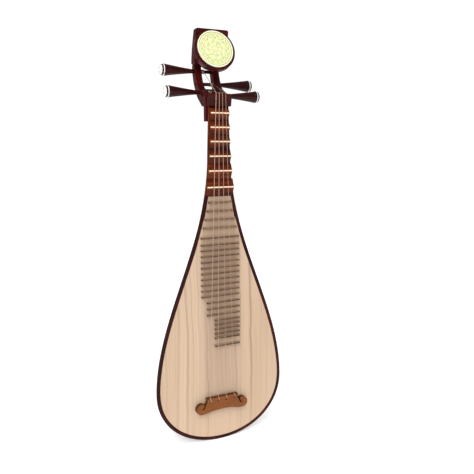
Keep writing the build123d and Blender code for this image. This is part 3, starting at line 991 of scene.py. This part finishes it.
@dataclass
class Body:
    """Bowl back, soundboard and what is under it."""

    finishes: Finishes
    outline: Outline = field(default_factory=Outline)
    side_depth: float = 4.0
    depth: float = 44.0
    crown_inset: float = 110.0
    steepness: float = 4.0
    wall: float = 7.0
    rim_width: float = 8.8
    ledge: float = 6.0
    board_thickness: float = 5.0
    board_gap: float = 0.15
    heel_length: float = 49.5
    heel_blend_z: float = 470.0
    back_steps: int = 26
    hollow_steps: int = 10

    def back_depth(self, x: float, z: float, amount: float) -> float:
        """Depth of the back where the outline is set in by amount, easing into the neck."""
        share = min(amount / self.crown_inset, 1.0)
        rise = 1 - (1 - share) ** self.steepness
        bowl = self.side_depth + (self.depth - self.side_depth) * rise
        heel = self.outline.neck_joint_z - self.heel_blend_z
        blend = smoothstep((z - self.heel_blend_z) / heel)
        if blend == 0:
            return bowl
        half = self.outline.half(z)
        rest = 1 - min(abs(x) / half, 1.0) ** NECK_ROUNDNESS
        neck = NECK_SIDE + (NECK_DEPTH - NECK_SIDE) * rest ** (1 / NECK_ROUNDNESS)
        return bowl * (1 - blend) + neck * blend

    def back(self) -> Object:
        """Build the back: outer bowl, rounded rim, ledge and hollow."""
        joint = self.outline.neck_joint_z
        recess = Extent.of("soundboard").high.z + self.board_gap
        cavity_top = joint - self.heel_length
        rings: list[list[Point]] = []

        def flat(amount: float, y: float, top_z: float) -> None:
            """Add a ring at one depth."""
            rings.append([(x, y, z) for x, z in self.outline.ring(amount, top_z)])

        steps = self.back_steps
        insets = [self.crown_inset * (i / steps) ** 1.7 for i in range(steps + 1)]
        for amount in reversed(insets):
            rings.append([(x, self.back_depth(x, z, amount), z)
                          for x, z in self.outline.ring(amount, joint)])
        for amount, y in ((0.0, 1.3), (0.15, 0.6), (0.6, 0.15), (1.3, 0.0)):
            flat(amount, y, joint)
        edge = self.rim_width
        for amount, y in ((edge - 0.4, 0.0), (edge, 0.35)):
            flat(amount, y, recess)
        flat(edge, self.board_thickness, recess)
        inner = edge + self.ledge
        flat(inner, self.board_thickness, cavity_top)
        floor = self.depth - self.wall
        for i in range(1, self.hollow_steps + 1):
            share = (i / self.hollow_steps) ** 1.5
            amount = inner + (self.crown_inset - inner) * share
            rise = 1 - (1 - share) ** self.steepness
            flat(amount, self.board_thickness + (floor - self.board_thickness) * rise,
                 cavity_top)
        return loft("back", rings)

    def dress(self) -> None:
        """Build and place the back, and dress the board and the pieces under it."""
        place(self.back(), ROOT, "rosewood", "back_shell", material=self.finishes.rim)
        dress_node("soundboard", self.finishes.board)
        for node in ("upper_brace", "lower_brace", "sound_post"):
            dress_node(node, self.finishes.brace)


def dress_node(node: str, material: Material) -> None:
    """Give a CAD node, which keeps its shape, a better material."""
    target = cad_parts[node]
    for slot in target.material_slots:
        slot.material = material
    log.info("%s: CAD shape with %s", node, material.name)


# ---- neck -------------------------------------------------------------------
@dataclass
class Neck:
    """Neck shaft, nut and the six xiangs with their strips."""

    finishes: Finishes
    outline: Outline
    depth_high: float = 24.0
    lap_length: float = 34.0
    lap_y: float = 9.0
    xiang_count: int = 6

    def section(self, z: float, lapped: bool) -> list[Point]:
        """Ring of the neck at height z, cut flat behind where it is lapped."""
        half = self.outline.half(z)
        up = (z - self.outline.neck_joint_z) / (self.outline.neck_top_z - self.outline.neck_joint_z)
        depth = NECK_DEPTH + (self.depth_high - NECK_DEPTH) * math.sin(up * math.pi / 2)
        ring: list[Point] = [(-half + 0.5, 0.0, z), (-half, 0.5, z)]
        for i in range(33):
            turn = math.pi * i / 32
            wide, deep = math.cos(turn), math.sin(turn)
            power = 2 / NECK_ROUNDNESS
            x = -half * math.copysign(abs(wide) ** power, wide)
            y = NECK_SIDE + (depth - NECK_SIDE) * deep ** power
            ring.append((x, min(y, self.lap_y) if lapped else y, z))
        ring += [(half, 0.5, z), (half - 0.5, 0.0, z)]
        return ring

    def shaft(self) -> Object:
        """Build the neck shaft, with its lap for the pegbox."""
        low, high = self.outline.neck_joint_z, self.outline.neck_top_z
        lap = high - self.lap_length
        rings = [self.section(low + (lap - low) * i / 20, False) for i in range(21)]
        rings += [self.section(lap + (high - lap) * i / 4, True) for i in range(5)]
        return loft("neck_shaft", rings)

    def dress(self) -> None:
        """Build and place the neck's pieces."""
        place(bevelled(self.shaft(), 0.4, 2, 50.0), ROOT, "rosewood_neck", "neck",
              material=self.finishes.neck)
        place_softened("nut", "nut_block", 1.0, "rosewood_dark", self.finishes.nut)
        for number in range(1, self.xiang_count + 1):
            place_softened(f"xiang_{number}", f"xiang_wave_{number}", 0.7, "xiang_wood",
                           self.finishes.xiang)
            place_softened(f"xiang_strip_{number}", f"xiang_ridge_{number}", 0.35, "pale_bone",
                           self.finishes.strip, 2)


# ---- pins -------------------------------------------------------------------
@dataclass
class PinRow:
    """One ladder of equal or evenly growing pins.

    Drop is the first pin's distance under the board's top edge and step the distance to the
    next; left and right are the ends along X, and their steps what each pin adds.
    """

    drop: float
    step: float
    count: int
    left: float
    right: float
    left_step: float = 0.0
    right_step: float = 0.0


@dataclass
class Pins:
    """The low frets of the soundboard, in four groups."""

    height: float = 7.7
    foot: float = 5.4
    crest: float = 1.8
    fall: float = 7.0
    border: float = 11.0

    def section(self, x: float, rise: float) -> list[Point]:
        """Ring of a pin's cross-section at x, its height scaled by rise."""
        foot, top, high = self.foot / 2, self.crest / 2, self.height * rise
        drop = min(0.5, high * 0.4)
        half = [(foot, 0.0), (foot - 0.2, -0.5 * rise), (top + 0.25, -high + drop * 1.6),
                (top, -high + drop * 0.6), (top * 0.55, -high)]
        side = [(x, y, z) for z, y in half]
        return side + [(x, y, -z) for z, y in reversed(half)]

    def pattern(self) -> Object:
        """Build one pin of no length, whose ends are marked so that a row can part them."""
        rings = [self.section(0.0, 0.94), self.section(0.4, 1.0)]
        for i in range(9):
            turn = math.pi / 2 * i / 8
            rings.append(self.section(-self.fall * (1 - math.sin(turn)),
                                      0.08 + 0.92 * math.cos(turn) ** 0.8))
        pattern = loft("pin_pattern", rings)
        mesh = pattern.data
        left = mesh.attributes.new("left_end", "FLOAT", "POINT")
        right = mesh.attributes.new("right_end", "FLOAT", "POINT")
        square_end = 2 * len(rings[0])
        for vertex in mesh.vertices:
            is_left = vertex.co.x > -0.1 * MM and vertex.index < square_end
            left.data[vertex.index].value = 1.0 if is_left else 0.0
            right.data[vertex.index].value = 0.0 if is_left else 1.0
        return pattern

    def dress(self, outline: Outline) -> None:
        """Build and place the four groups."""
        # Crest colours: partly the bamboo's own darker skin and partly painted shadow, deeper for
        # the groups lower on the board.
        crest_skin_and_shade = {"upper_pins": (104, 78, 60), "long_pins": (62, 38, 26),
                  "middle_pins": (38, 19, 10), "short_pins": (26, 11, 5)}
        graph = pin_rows()
        pattern = self.pattern()
        board_top = Extent.of("soundboard").high.z
        top_drop, top_step, top_count = 14.0, 20.0, 4
        first, last = (outline.inset(board_top - top_drop - fall, self.border)
                       for fall in (0.0, top_step * (top_count - 1)))
        grow = (last - first) / (top_count - 1)
        groups = {
            "upper_pins": [PinRow(top_drop, top_step, top_count, -first, first, -grow, grow)],
            "long_pins": [PinRow(97.4, 17.0, 2, -50.0, 50.0), PinRow(128.0, 13.9, 9, -50.0, 50.0)],
            "middle_pins": [PinRow(255.0, 15.2, 3, -36.5, 51.0)],
            "short_pins": [PinRow(299.7, 11.3, 5, -17.0, 51.0), PinRow(364.2, 0.0, 1, -17.0, 51.0)],
        }
        for node, rows in groups.items():
            wood = Bamboo(f"{node}_bamboo", (182, 155, 130), (132, 104, 80),
                          crest_skin_and_shade[node], (146, 118, 93), -self.height + 1.5, 2.6).build()
            made = []
            for row in rows:
                made.append(graph.grow(f"{node}_row", {
                    "Pin": pattern, "Count": row.count,
                    "First Height": (board_top - row.drop) * MM,
                    "Height Step": -row.step * MM, "Left End": row.left * MM,
                    "Left Step": row.left_step * MM, "Right End": row.right * MM,
                    "Right Step": row.right_step * MM, "Material": wood}))
            place(joined(f"{node}_row_set", made), ROOT, "bamboo_pin", node)
        bpy.data.objects.remove(pattern)


# ---- pegbox and head --------------------------------------------------------
@dataclass
class Head:
    """Pegbox, head plate, boss and the carved medallion."""

    finishes: Finishes
    lean: float = 17.0
    radius: float = 40.95
    edge_drop: float = 0.8
    thickness: float = 4.0
    relief: float = 1.5
    petals: int = 8
    soft_edge: float = 0.05     # of a ring of carving, as a share of the radius
    proud: float = 0.7          # of the carving's top over the rim's outer edge
    rim_gap: float = 0.05
    rim_width: float = 2.8
    steps_round: int = 288
    steps_out: int = 84

    def carving(self, radius: float, turn: float) -> float:
        """Height of the flower carving, 0 to 1, at a place on the medallion."""
        share = radius / self.radius
        half = self.petals / 2
        rings = (
            (0.00, 0.17, 0.75 + 0.25 * math.cos(share * 60)),
            (0.17, 0.42, abs(math.cos(half * turn + 0.5 * math.sin(share * 14))) ** 0.8),
            (0.42, 0.68, abs(math.sin(half * turn + 0.4 * math.sin(share * 17))) ** 0.7),
            (0.68, 0.86, 0.5 + 0.5 * math.cos(2 * self.petals * turn + 3 * math.sin(share * 22))),
            (0.86, 0.97, 0.45 + 0.4 * math.sin(5 * self.petals * turn) ** 2),
        )
        height = 0.0
        for start, end, wave in rings:
            inside = (smoothstep((share - start) / self.soft_edge + 0.5)
                      * smoothstep((end - share) / self.soft_edge + 0.5))
            along = min(max((share - start) / (end - start), 0.0), 1.0)
            swell = 0.45 + 0.55 * math.sin(math.pi * along) ** 0.6
            height = max(height, inside * swell * (0.25 + 0.75 * wave))
        return height * smoothstep((1.0 - share) / 0.04)

    def on_disc(self, radius: float, turn: float, out: float) -> Point:
        """Point at a radius and an angle on the leaning disc, out in front of its face."""
        x, up = radius * math.sin(turn), radius * math.cos(turn)
        lean = math.radians(self.lean)
        centre = Extent.of("medallion_rim").middle
        ahead = out + self.thickness / 2
        return (x, centre.y + up * math.sin(lean) - ahead * math.cos(lean),
                centre.z + up * math.cos(lean) + ahead * math.sin(lean))

    def medallion(self) -> Object:
        """Build the medallion with its carved front."""
        around, across = self.steps_round, self.steps_out
        base = self.proud - self.edge_drop - self.relief
        points: list[Point] = []
        heights: list[float] = []
        faces: list[list[int]] = []
        for ring in range(1, across + 1):
            radius = self.radius * ring / across
            for turn in full_turn(around):
                height = self.carving(radius, turn)
                heights.append(height)
                points.append(self.on_disc(radius, turn, base + self.relief * height))
        centre = len(points)
        bud = 0.9
        points.append(self.on_disc(0.0, 0.0, base + self.relief * bud))
        heights.append(bud)
        for i in range(around):
            faces.append([centre, i, (i + 1) % around])
        for ring in range(across - 1):
            for i in range(around):
                j = (i + 1) % around
                start = ring * around
                faces.append([start + i, start + around + i, start + around + j, start + j])
        back = len(points)
        for turn in full_turn(around):
            points.append(self.on_disc(self.radius, turn, -self.thickness))
            heights.append(0.0)
        last = (across - 1) * around
        for i in range(around):
            j = (i + 1) % around
            faces.append([last + i, back + i, back + j, last + j])
        faces.append([back + i for i in range(around)])
        mesh = bpy.data.meshes.new("medallion_carving")
        mesh.from_pydata([Vector(p) * MM for p in points], [], faces)
        carved = mesh.attributes.new("relief", "FLOAT", "POINT")
        carved.data.foreach_set("value", heights)
        face_outwards(mesh, merged=False)
        return new_object("medallion_carving", mesh)

    def rim(self) -> Object:
        """Build the medallion's plain rounded rim."""
        inner = self.radius + self.rim_gap
        outer = inner + self.rim_width
        profile = [(outer, -self.thickness), (outer, -self.edge_drop), (outer - 0.3, -0.2),
                   (outer - 0.9, 0.0), (inner + 0.7, 0.0), (inner + 0.2, -0.3), (inner, -0.9),
                   (inner, -self.thickness)]
        rings = [[self.on_disc(radius, turn, out) for radius, out in profile]
                 for turn in full_turn(160)]
        return loft("medallion_border", rings, closed_tube=True)

    def dress(self) -> None:
        """Build and place the head's pieces."""
        for node, name, width in (("pegbox_left_cheek", "left_cheek", 1.6),
                                  ("pegbox_right_cheek", "right_cheek", 1.6),
                                  ("pegbox_base", "pegbox_floor", 0.6),
                                  ("head_block", "head_plate", 2.2), ("head_boss", "boss", 0.8)):
            place_softened(node, name, width, "rosewood_head", self.finishes.head)
        place(self.medallion(), ROOT, "carved_bone", "medallion", material=self.finishes.medallion)
        place(self.rim(), ROOT, "pale_bone", "medallion_rim", material=self.finishes.medallion_rim)


# ---- pegs -------------------------------------------------------------------
class PegPlace(Enum):
    """The four pegs: the side that each stands out on and the string that it winds."""

    UPPER_LEFT = (-1, 0)
    UPPER_RIGHT = (1, 3)
    LOWER_LEFT = (-1, 1)
    LOWER_RIGHT = (1, 2)

    @property
    def word(self) -> str:
        """Name as the nodes have it."""
        return self.name.lower()

    @property
    def side(self) -> int:
        """-1 on the left, 1 on the right."""
        return self.value[0]

    @property
    def centre(self) -> Point:
        """A point on the peg's axis in the plane of symmetry."""
        middle = Extent.of(f"{self.word}_peg").middle
        return 0.0, middle.y, middle.z

    @property
    def string(self) -> int:
        """Number of the string that it winds, from the left."""
        return self.value[1]


@dataclass
class Peg:
    """One fluted tuning peg with its ring, collar, cap and winding."""

    finishes: Finishes
    spot: PegPlace
    start: float = 31.0
    end: float = 106.0
    radius: float = 14.0
    waist: float = 4.6
    ring_width: float = 2.4
    collar: float = 3.6
    cap: float = 5.0
    flutes: int = 10
    flute_depth: float = 0.0616
    far_end: float = -30.0      # of the shank, past the plane of symmetry
    core: float = 6.0           # radius inside the ring
    coil_spacing: float = 2.15  # between turns of the winding, in wire radii

    def swell(self, out: float) -> float:
        """Radius of the handle at a distance from the plane of symmetry."""
        share = (out - self.start) / (self.end - self.start)
        return self.waist + (self.radius - self.waist) * (0.25 * share + 0.75 * share ** 1.25)

    def flute(self, out: float, turn: float) -> float:
        """Factor on the radius that sinks the flutes, fading at both ends."""
        fade = smoothstep((out - self.start - 4) / 14) * smoothstep((self.end - 1.5 - out) / 4)
        groove = 1 - abs(math.cos(self.flutes / 2 * turn)) ** 0.8
        return 1 - self.flute_depth * fade * groove

    def handle(self) -> Object:
        """Build the shank, fluted handle and collar."""
        far = self.far_end
        outline: list[Flat] = [(far, 0.01), (far, SHANK_RADIUS - 0.5), (far + 0.5, SHANK_RADIUS)]
        outline += [(self.start - 0.5, SHANK_RADIUS), (self.start - 0.2, self.waist - 0.2)]
        steps = 34
        for i in range(steps + 1):
            out = self.start + (self.end - 1.2 - self.start) * i / steps
            outline.append((out, self.swell(out)))
        start = self.end + self.ring_width
        outline += [(self.end - 0.4, self.radius - 0.25), (self.end, self.radius - 0.8),
                    (self.end, self.core), (start, self.core), (start, self.radius - 1.4),
                    (start + 0.4, self.radius - 1.0),
                    (start + self.collar - 0.5, self.radius - 1.5),
                    (start + self.collar, self.radius - 2.0), (start + self.collar, 0.01)]
        return turned(f"{self.spot.word}_handle", outline, self.spot.centre, self.spot.side, 120,
                      self.flute)

    def trim(self) -> Object:
        """Build the white ring and the domed cap."""
        word, centre, side = self.spot.word, self.spot.centre, self.spot.side
        ring_out = [(self.end + 0.02, 6.05), (self.end + 0.02, self.radius - 0.9),
                    (self.end + 0.5, self.radius - 0.55), (self.end + 1.9, self.radius - 0.6),
                    (self.end + 2.38, self.radius - 1.0), (self.end + 2.38, 6.05)]
        steps = 72
        rings = [[about_x(centre, side * out, radius, turn) for out, radius in ring_out]
                 for turn in full_turn(steps)]
        ring = loft(word + "_ring", rings, closed_tube=True)
        start, wide = self.end + self.ring_width + self.collar, self.radius - 2.4
        dome: list[Flat] = [(start, 0.01), (start, wide - 0.3), (start + 0.3, wide)]
        for i in range(1, 13):
            turn = math.radians(82) * i / 12
            dome.append((start + 0.3 + (self.cap - 0.3) * math.sin(turn), wide * math.cos(turn)))
        tip = start + self.cap
        dome += [(tip + 0.2, 1.5), (tip + 0.9, 1.6), (tip + 1.5, 1.2), (tip + 1.9, 0.5),
                 (tip + 2.0, 0.01)]
        cap = turned(word + "_cap", dome, centre, side, steps)
        return joined(f"{word}_ring_and_cap", [ring, cap])

    def dress(self, coil: NodeGraph) -> None:
        """Build and place the peg on its own body."""
        word = self.spot.word
        body = f"{word}_peg_body"
        place(self.handle(), body, "blackwood", f"{word}_peg", material=self.finishes.peg)
        place(self.trim(), body, "white_trim", f"{word}_peg_trim", material=self.finishes.trim)
        wound = Extent.of(f"{word}_winding")
        wire = STRING_RADII[self.spot.string]
        length = wound.size.x - 2 * wire
        winding = coil.grow(f"{word}_coil", {
            "Turns": length / (self.coil_spacing * wire), "Radius": (SHANK_RADIUS + wire) * MM,
            "Length": length * MM, "Wire Radius": wire * MM,
            "Centre": wound.middle * MM, "Material": self.finishes.string})
        place(winding, body, "string_wire", f"{word}_winding")


# ---- strings and bridge -----------------------------------------------------
@dataclass
class Strings:
    """The four strings, from their knots on the bridge to their windings."""

    finishes: Finishes
    nut_z: float = field(default_factory=lambda: Extent.of("nut").high.z)
    bridge_z: float = field(default_factory=lambda: Extent.of("bridge").high.z)
    bridge_x: float = field(default_factory=lambda: Extent.of("bridge").middle.x)
    front_y: float = field(default_factory=lambda: Extent.of("bridge").low.y)
    nut_y: float = -13.6
    bridge_inset: float = 3.0
    pitch_nut: float = 8.0

    def x_at(self, number: int, z: float) -> float:
        """Place of a string across the instrument at height z."""
        along = (z - self.bridge_z) / (self.nut_z - self.bridge_z)
        pitch = BRIDGE_PITCH + (self.pitch_nut - BRIDGE_PITCH) * along
        return (number - 1.5) * pitch + self.bridge_x * (1 - along)

    def path(self, number: int, spot: PegPlace) -> list[Point]:
        """Points along one string."""
        radius = STRING_RADII[number]
        low_x, high_x = self.x_at(number, self.bridge_z), self.x_at(number, self.nut_z)
        _, peg_y, peg_z = spot.centre
        bend_z = self.nut_z + radius + 0.7
        reach_y, reach_z = peg_y - self.nut_y, peg_z - bend_z
        reach = math.hypot(reach_y, reach_z)
        off = SHANK_RADIUS + radius
        end = (high_x * 0.75, peg_y - off * reach_z / reach, peg_z + off * reach_y / reach)
        hole_z, bridge_y = self.bridge_z - KNOT_DROP, self.front_y + self.bridge_inset
        loop = [(low_x + 1.0, self.front_y + 2.5, hole_z),
                (low_x + 1.3, self.front_y - radius - 0.2, hole_z + 1.4),
                (low_x + 1.0, self.front_y - radius - 0.1, self.bridge_z - 2.5),
                (low_x + 0.3, self.front_y + 0.6, self.bridge_z + radius + 0.3)]
        run = [(low_x, bridge_y - 0.4, self.bridge_z + 2.5)]
        for share in (0.15, 0.35, 0.55, 0.75, 0.9):
            z = self.bridge_z + (self.nut_z - self.bridge_z) * share
            y = bridge_y + (self.nut_y - bridge_y) * share
            run.append((self.x_at(number, z), y, z))
        over = [(high_x, self.nut_y, self.nut_z - 3.0),
                (high_x, self.nut_y + 0.1, self.nut_z - 0.4),
                (high_x, self.nut_y + 0.8, bend_z - 0.1)]
        start = Vector(over[-1])
        lead = start + (Vector(end) - start) * 0.08
        return loop + run + over + [tuple(lead), end]

    def dress(self, tube: NodeGraph) -> None:
        """Build and place the strings."""
        for spot in PegPlace:
            number = spot.string
            curve = bpy.data.curves.new(f"string_path_{number + 1}", "CURVE")
            curve.dimensions = "3D"
            points = self.path(number, spot)
            line = curve.splines.new("POLY")
            line.points.add(len(points) - 1)
            for point, at in zip(line.points, points):
                point.co = (*(Vector(at) * MM), 1.0)
            path = new_object(f"string_path_{number + 1}", curve)
            made = tube.grow(f"string_run_{number + 1}", {
                "Path": path, "Radius": STRING_RADII[number] * MM, "Sides": 10,
                "Material": self.finishes.string})
            bpy.data.objects.remove(path)
            place(made, ROOT, "string_wire", f"string_{number + 1}")


@dataclass
class Bridge:
    """Tie bridge whose ends curl up into scrolls, with a hook-shaped cut in each."""

    finishes: Finishes
    height: float = 12.0
    reach: float = 55.0
    radius: float = 13.2
    rounding: float = 1.7
    cut_width: float = 3.4
    cut_floor: float = 2.5
    tip: Point = (3.4, 3.6, 4.2)
    cut_turns: Flat = (57.0, -5.0)      # degrees at the mouth and the end of the cut
    cut_reach: Flat = (1.3, 0.06)       # the same, in scroll radii

    def cut(self, side: int) -> Object:
        """Cutter for the hook-shaped cut that parts a scroll from the bar."""
        extent = Extent.of("bridge")
        centre_x, centre_z = extent.middle.x + side * self.reach, extent.low.z + self.radius
        (first, last), (mouth, end) = self.cut_turns, self.cut_reach
        steps = 22
        path: list[Vector] = []
        for i in range(steps + 1):
            share = i / steps
            turn = math.radians(first + (last - first) * share ** 1.4)
            reach = self.radius * (mouth + (end - mouth) * share)
            path.append(Vector((centre_x - side * reach * math.cos(turn),
                                centre_z + reach * math.sin(turn))))
        left: list[Vector] = []
        right: list[Vector] = []
        for i, point in enumerate(path):
            ahead = (path[min(i + 1, steps)] - path[max(i - 1, 0)]).normalized()
            half = self.cut_width / 2 * (1.3 - 0.6 * i / steps)
            left.append(point + half * Vector((-ahead.y, ahead.x)))
            right.append(point - half * Vector((-ahead.y, ahead.x)))
        outline = left + right[::-1]
        rings = [[(x, y, z) for x, z in outline]
                 for y in (extent.low.y - 1.0, extent.high.y - self.cut_floor)]
        return loft("scroll_cut", rings, smooth=False)

    def body(self) -> Object:
        """Build the bar with its holes, its scrolls and the cuts beside them."""
        bar = self.rounded(softened("bridge", "bridge_body", 0.0))
        for side in (-1, 1):
            tool = self.cut(side)
            cutting = bar.modifiers.new("cutting", "BOOLEAN")
            cutting.operation, cutting.solver, cutting.object = "DIFFERENCE", "EXACT", tool
            bar = freeze(bar)
            bpy.data.objects.remove(tool)
        return bevelled(bar, 0.3, 2, 40.0)

    def rounded(self, bar: Object) -> Object:
        """Round the front outline well over, but not the rims of the holes."""
        front = Extent.of("bridge").low.y * MM
        work = bmesh.new()
        work.from_mesh(bar.data)
        edges = [e for e in work.edges
                 if all(abs(v.co.y - front) < 1e-5 for v in e.verts) and len(e.link_faces) == 2
                 and min(abs(f.normal.y) for f in e.link_faces) < 0.3
                 and self.hole_distance(e) > 3.0 * MM]
        bmesh.ops.bevel(work, geom=edges, offset=self.rounding * MM, offset_type="OFFSET",
                        segments=3, profile=0.5, affect="EDGES", clamp_overlap=True)
        work.to_mesh(bar.data)
        work.free()
        return bar

    def hole_distance(self, edge: bmesh.types.BMEdge) -> float:
        """Distance in metres from an edge's middle to the nearest knot hole."""
        extent = Extent.of("bridge")
        middle = (edge.verts[0].co + edge.verts[1].co) / 2
        height = (extent.high.z - KNOT_DROP) * MM
        places = [(extent.middle.x + (number - 1.5) * BRIDGE_PITCH) * MM for number in range(4)]
        return min(math.hypot(middle.x - x, middle.z - height) for x in places)

    def end_tip(self) -> Object:
        """Build the small block at the right end of the top edge."""
        extent = Extent.of("bridge")
        right = extent.middle.x + self.reach - 13.0
        wide, deep, tall = self.tip
        top = extent.high.z
        points = [(x, y, z) for z in (top - tall, top + 0.01) for x, y in
                  ((right - wide, extent.low.y - 0.8), (right + 0.2, extent.low.y - 0.8),
                   (right + 0.2, extent.low.y + deep), (right - wide, extent.low.y + deep))]
        block = loft("bridge_tip", [points[:4], points[4:]], smooth=False)
        return bevelled(block, 0.5, 2)

    def dress(self) -> None:
        """Build and place the bridge."""
        # Painted shade: the dark body colour covers the bar's top, sides and rounded edges; the
        # lighter crest colour is its front face.
        wood = Bamboo("bridge_bamboo", (62, 34, 12), (96, 50, 16),
                      (144, 78, 30), (96, 66, 18),
                      -self.height + 0.1, 1.1).build()
        bar, tip = self.body(), self.end_tip()
        for part, material in ((bar, wood), (tip, self.finishes.dark_line)):
            part.data.materials.clear()
            part.data.materials.append(material)
        place(joined("bridge_bar", [bar, tip]), ROOT, "bamboo", "bridge")


# ---- studio -----------------------------------------------------------------
@dataclass
class StudioSet:
    """Camera, lights and pale floor."""

    stand: Point = (-549.0, -1229.3, 717.7)
    heading: float = 25.795
    tilt: float = 8.73
    roll: float = 0.32
    lens: float = 43.44
    fill: float = 0.36
    backdrop: float = 1.05
    daylight_from: Point = (-0.30, -0.55, 0.90)
    daylight: float = 1.8
    daylight_spread: float = 50.0
    key_at: Point = (-1.3, -1.9, 1.9)
    key_aim: Point = (0.0, 0.0, 0.6)
    key_size: float = 0.45
    key: float = 13.0
    floor_half: float = 4000.0
    floor_z: float = -0.5
    floor_white: float = 0.95

    def camera(self) -> None:
        """Stand the camera in front of the instrument's left side."""
        heading, tilt, roll = (math.radians(a) for a in (self.heading, self.tilt, self.roll))
        ahead = Vector((math.sin(heading) * math.cos(tilt), math.cos(heading) * math.cos(tilt),
                        -math.sin(tilt)))
        right = Vector((math.cos(heading), -math.sin(heading), 0))
        down = ahead.cross(right)
        across = math.cos(roll) * right + math.sin(roll) * down
        below = math.cos(roll) * down - math.sin(roll) * right
        turn = Matrix((across, -below, -ahead)).transposed().to_4x4()
        data = bpy.data.cameras.new("camera")
        data.lens, data.sensor_width = self.lens, 36.0
        made = new_object("camera", data)
        made.matrix_world = Matrix.Translation(Vector(self.stand) * MM) @ turn
        bpy.context.scene.camera = made

    def lamp(self, name: str, at: Point, aim: Point, size: float, power: float) -> None:
        """Hang a square area light.

        Args:
            name: the light's name.
            at: where it hangs, in metres.
            aim: the point that it faces, in metres.
            size: its side, in metres.
            power: its power, in watts.
        """
        data = bpy.data.lights.new(name, "AREA")
        data.size, data.energy = size, power
        made = new_object(name, data)
        made.location = at
        made.rotation_euler = (Vector(aim) - Vector(at)).to_track_quat("-Z", "Y").to_euler()

    def sun(self, name: str, towards: Point, power: float, spread: float) -> None:
        """Light everything evenly from one direction.

        Args:
            name: the light's name.
            towards: direction from the object to the light.
            power: its strength, in watts on a square metre.
            spread: its angular size, in degrees, which softens its shadows.
        """
        data = bpy.data.lights.new(name, "SUN")
        data.energy, data.angle = power, math.radians(spread)
        made = new_object(name, data)
        made.rotation_euler = Vector(towards).to_track_quat("Z", "Y").to_euler()

    def build(self) -> None:
        """Build the whole set."""
        self.camera()
        world = bpy.data.worlds.new("studio")
        bpy.context.scene.world = world
        world.use_nodes = True
        tree = NodeTree(world.node_tree)
        seen = tree.node("ShaderNodeLightPath").outputs["Is Camera Ray"]
        level = tree.node("ShaderNodeMapRange", named={
            "Value": seen, "To Min": self.fill, "To Max": self.backdrop}).outputs["Result"]
        sky = world.node_tree.nodes["Background"]
        tree.fill(sky.inputs["Color"], (1.0, 1.0, 1.0))
        tree.fill(sky.inputs["Strength"], level)
        self.sun("daylight", self.daylight_from, self.daylight, self.daylight_spread)
        self.lamp("key", self.key_at, self.key_aim, self.key_size, self.key)
        half = self.floor_half
        floor = mesh_object("floor", [(x, y, self.floor_z) for x, y in (
            (-half, -half), (half, -half), (half, half), (-half, half))], [(0, 1, 2, 3)])
        floor.data.materials.append(Studio("floor_matt", (self.floor_white,) * 3).build())
        bpy.context.scene.view_settings.view_transform = "Standard"


def main() -> None:
    """Build every piece in order."""
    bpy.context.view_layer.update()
    StudioSet().build()
    finishes = Finishes()
    body = Body(finishes)
    body.dress()
    Neck(finishes, body.outline).dress()
    Pins().dress(body.outline)
    Head(finishes).dress()
    coil, tube = coils(), wire_runs()
    for spot in PegPlace:
        Peg(finishes, spot).dress(coil)
    Strings(finishes).dress(tube)
    Bridge(finishes).dress()


if __name__ == "__main__":
    main()
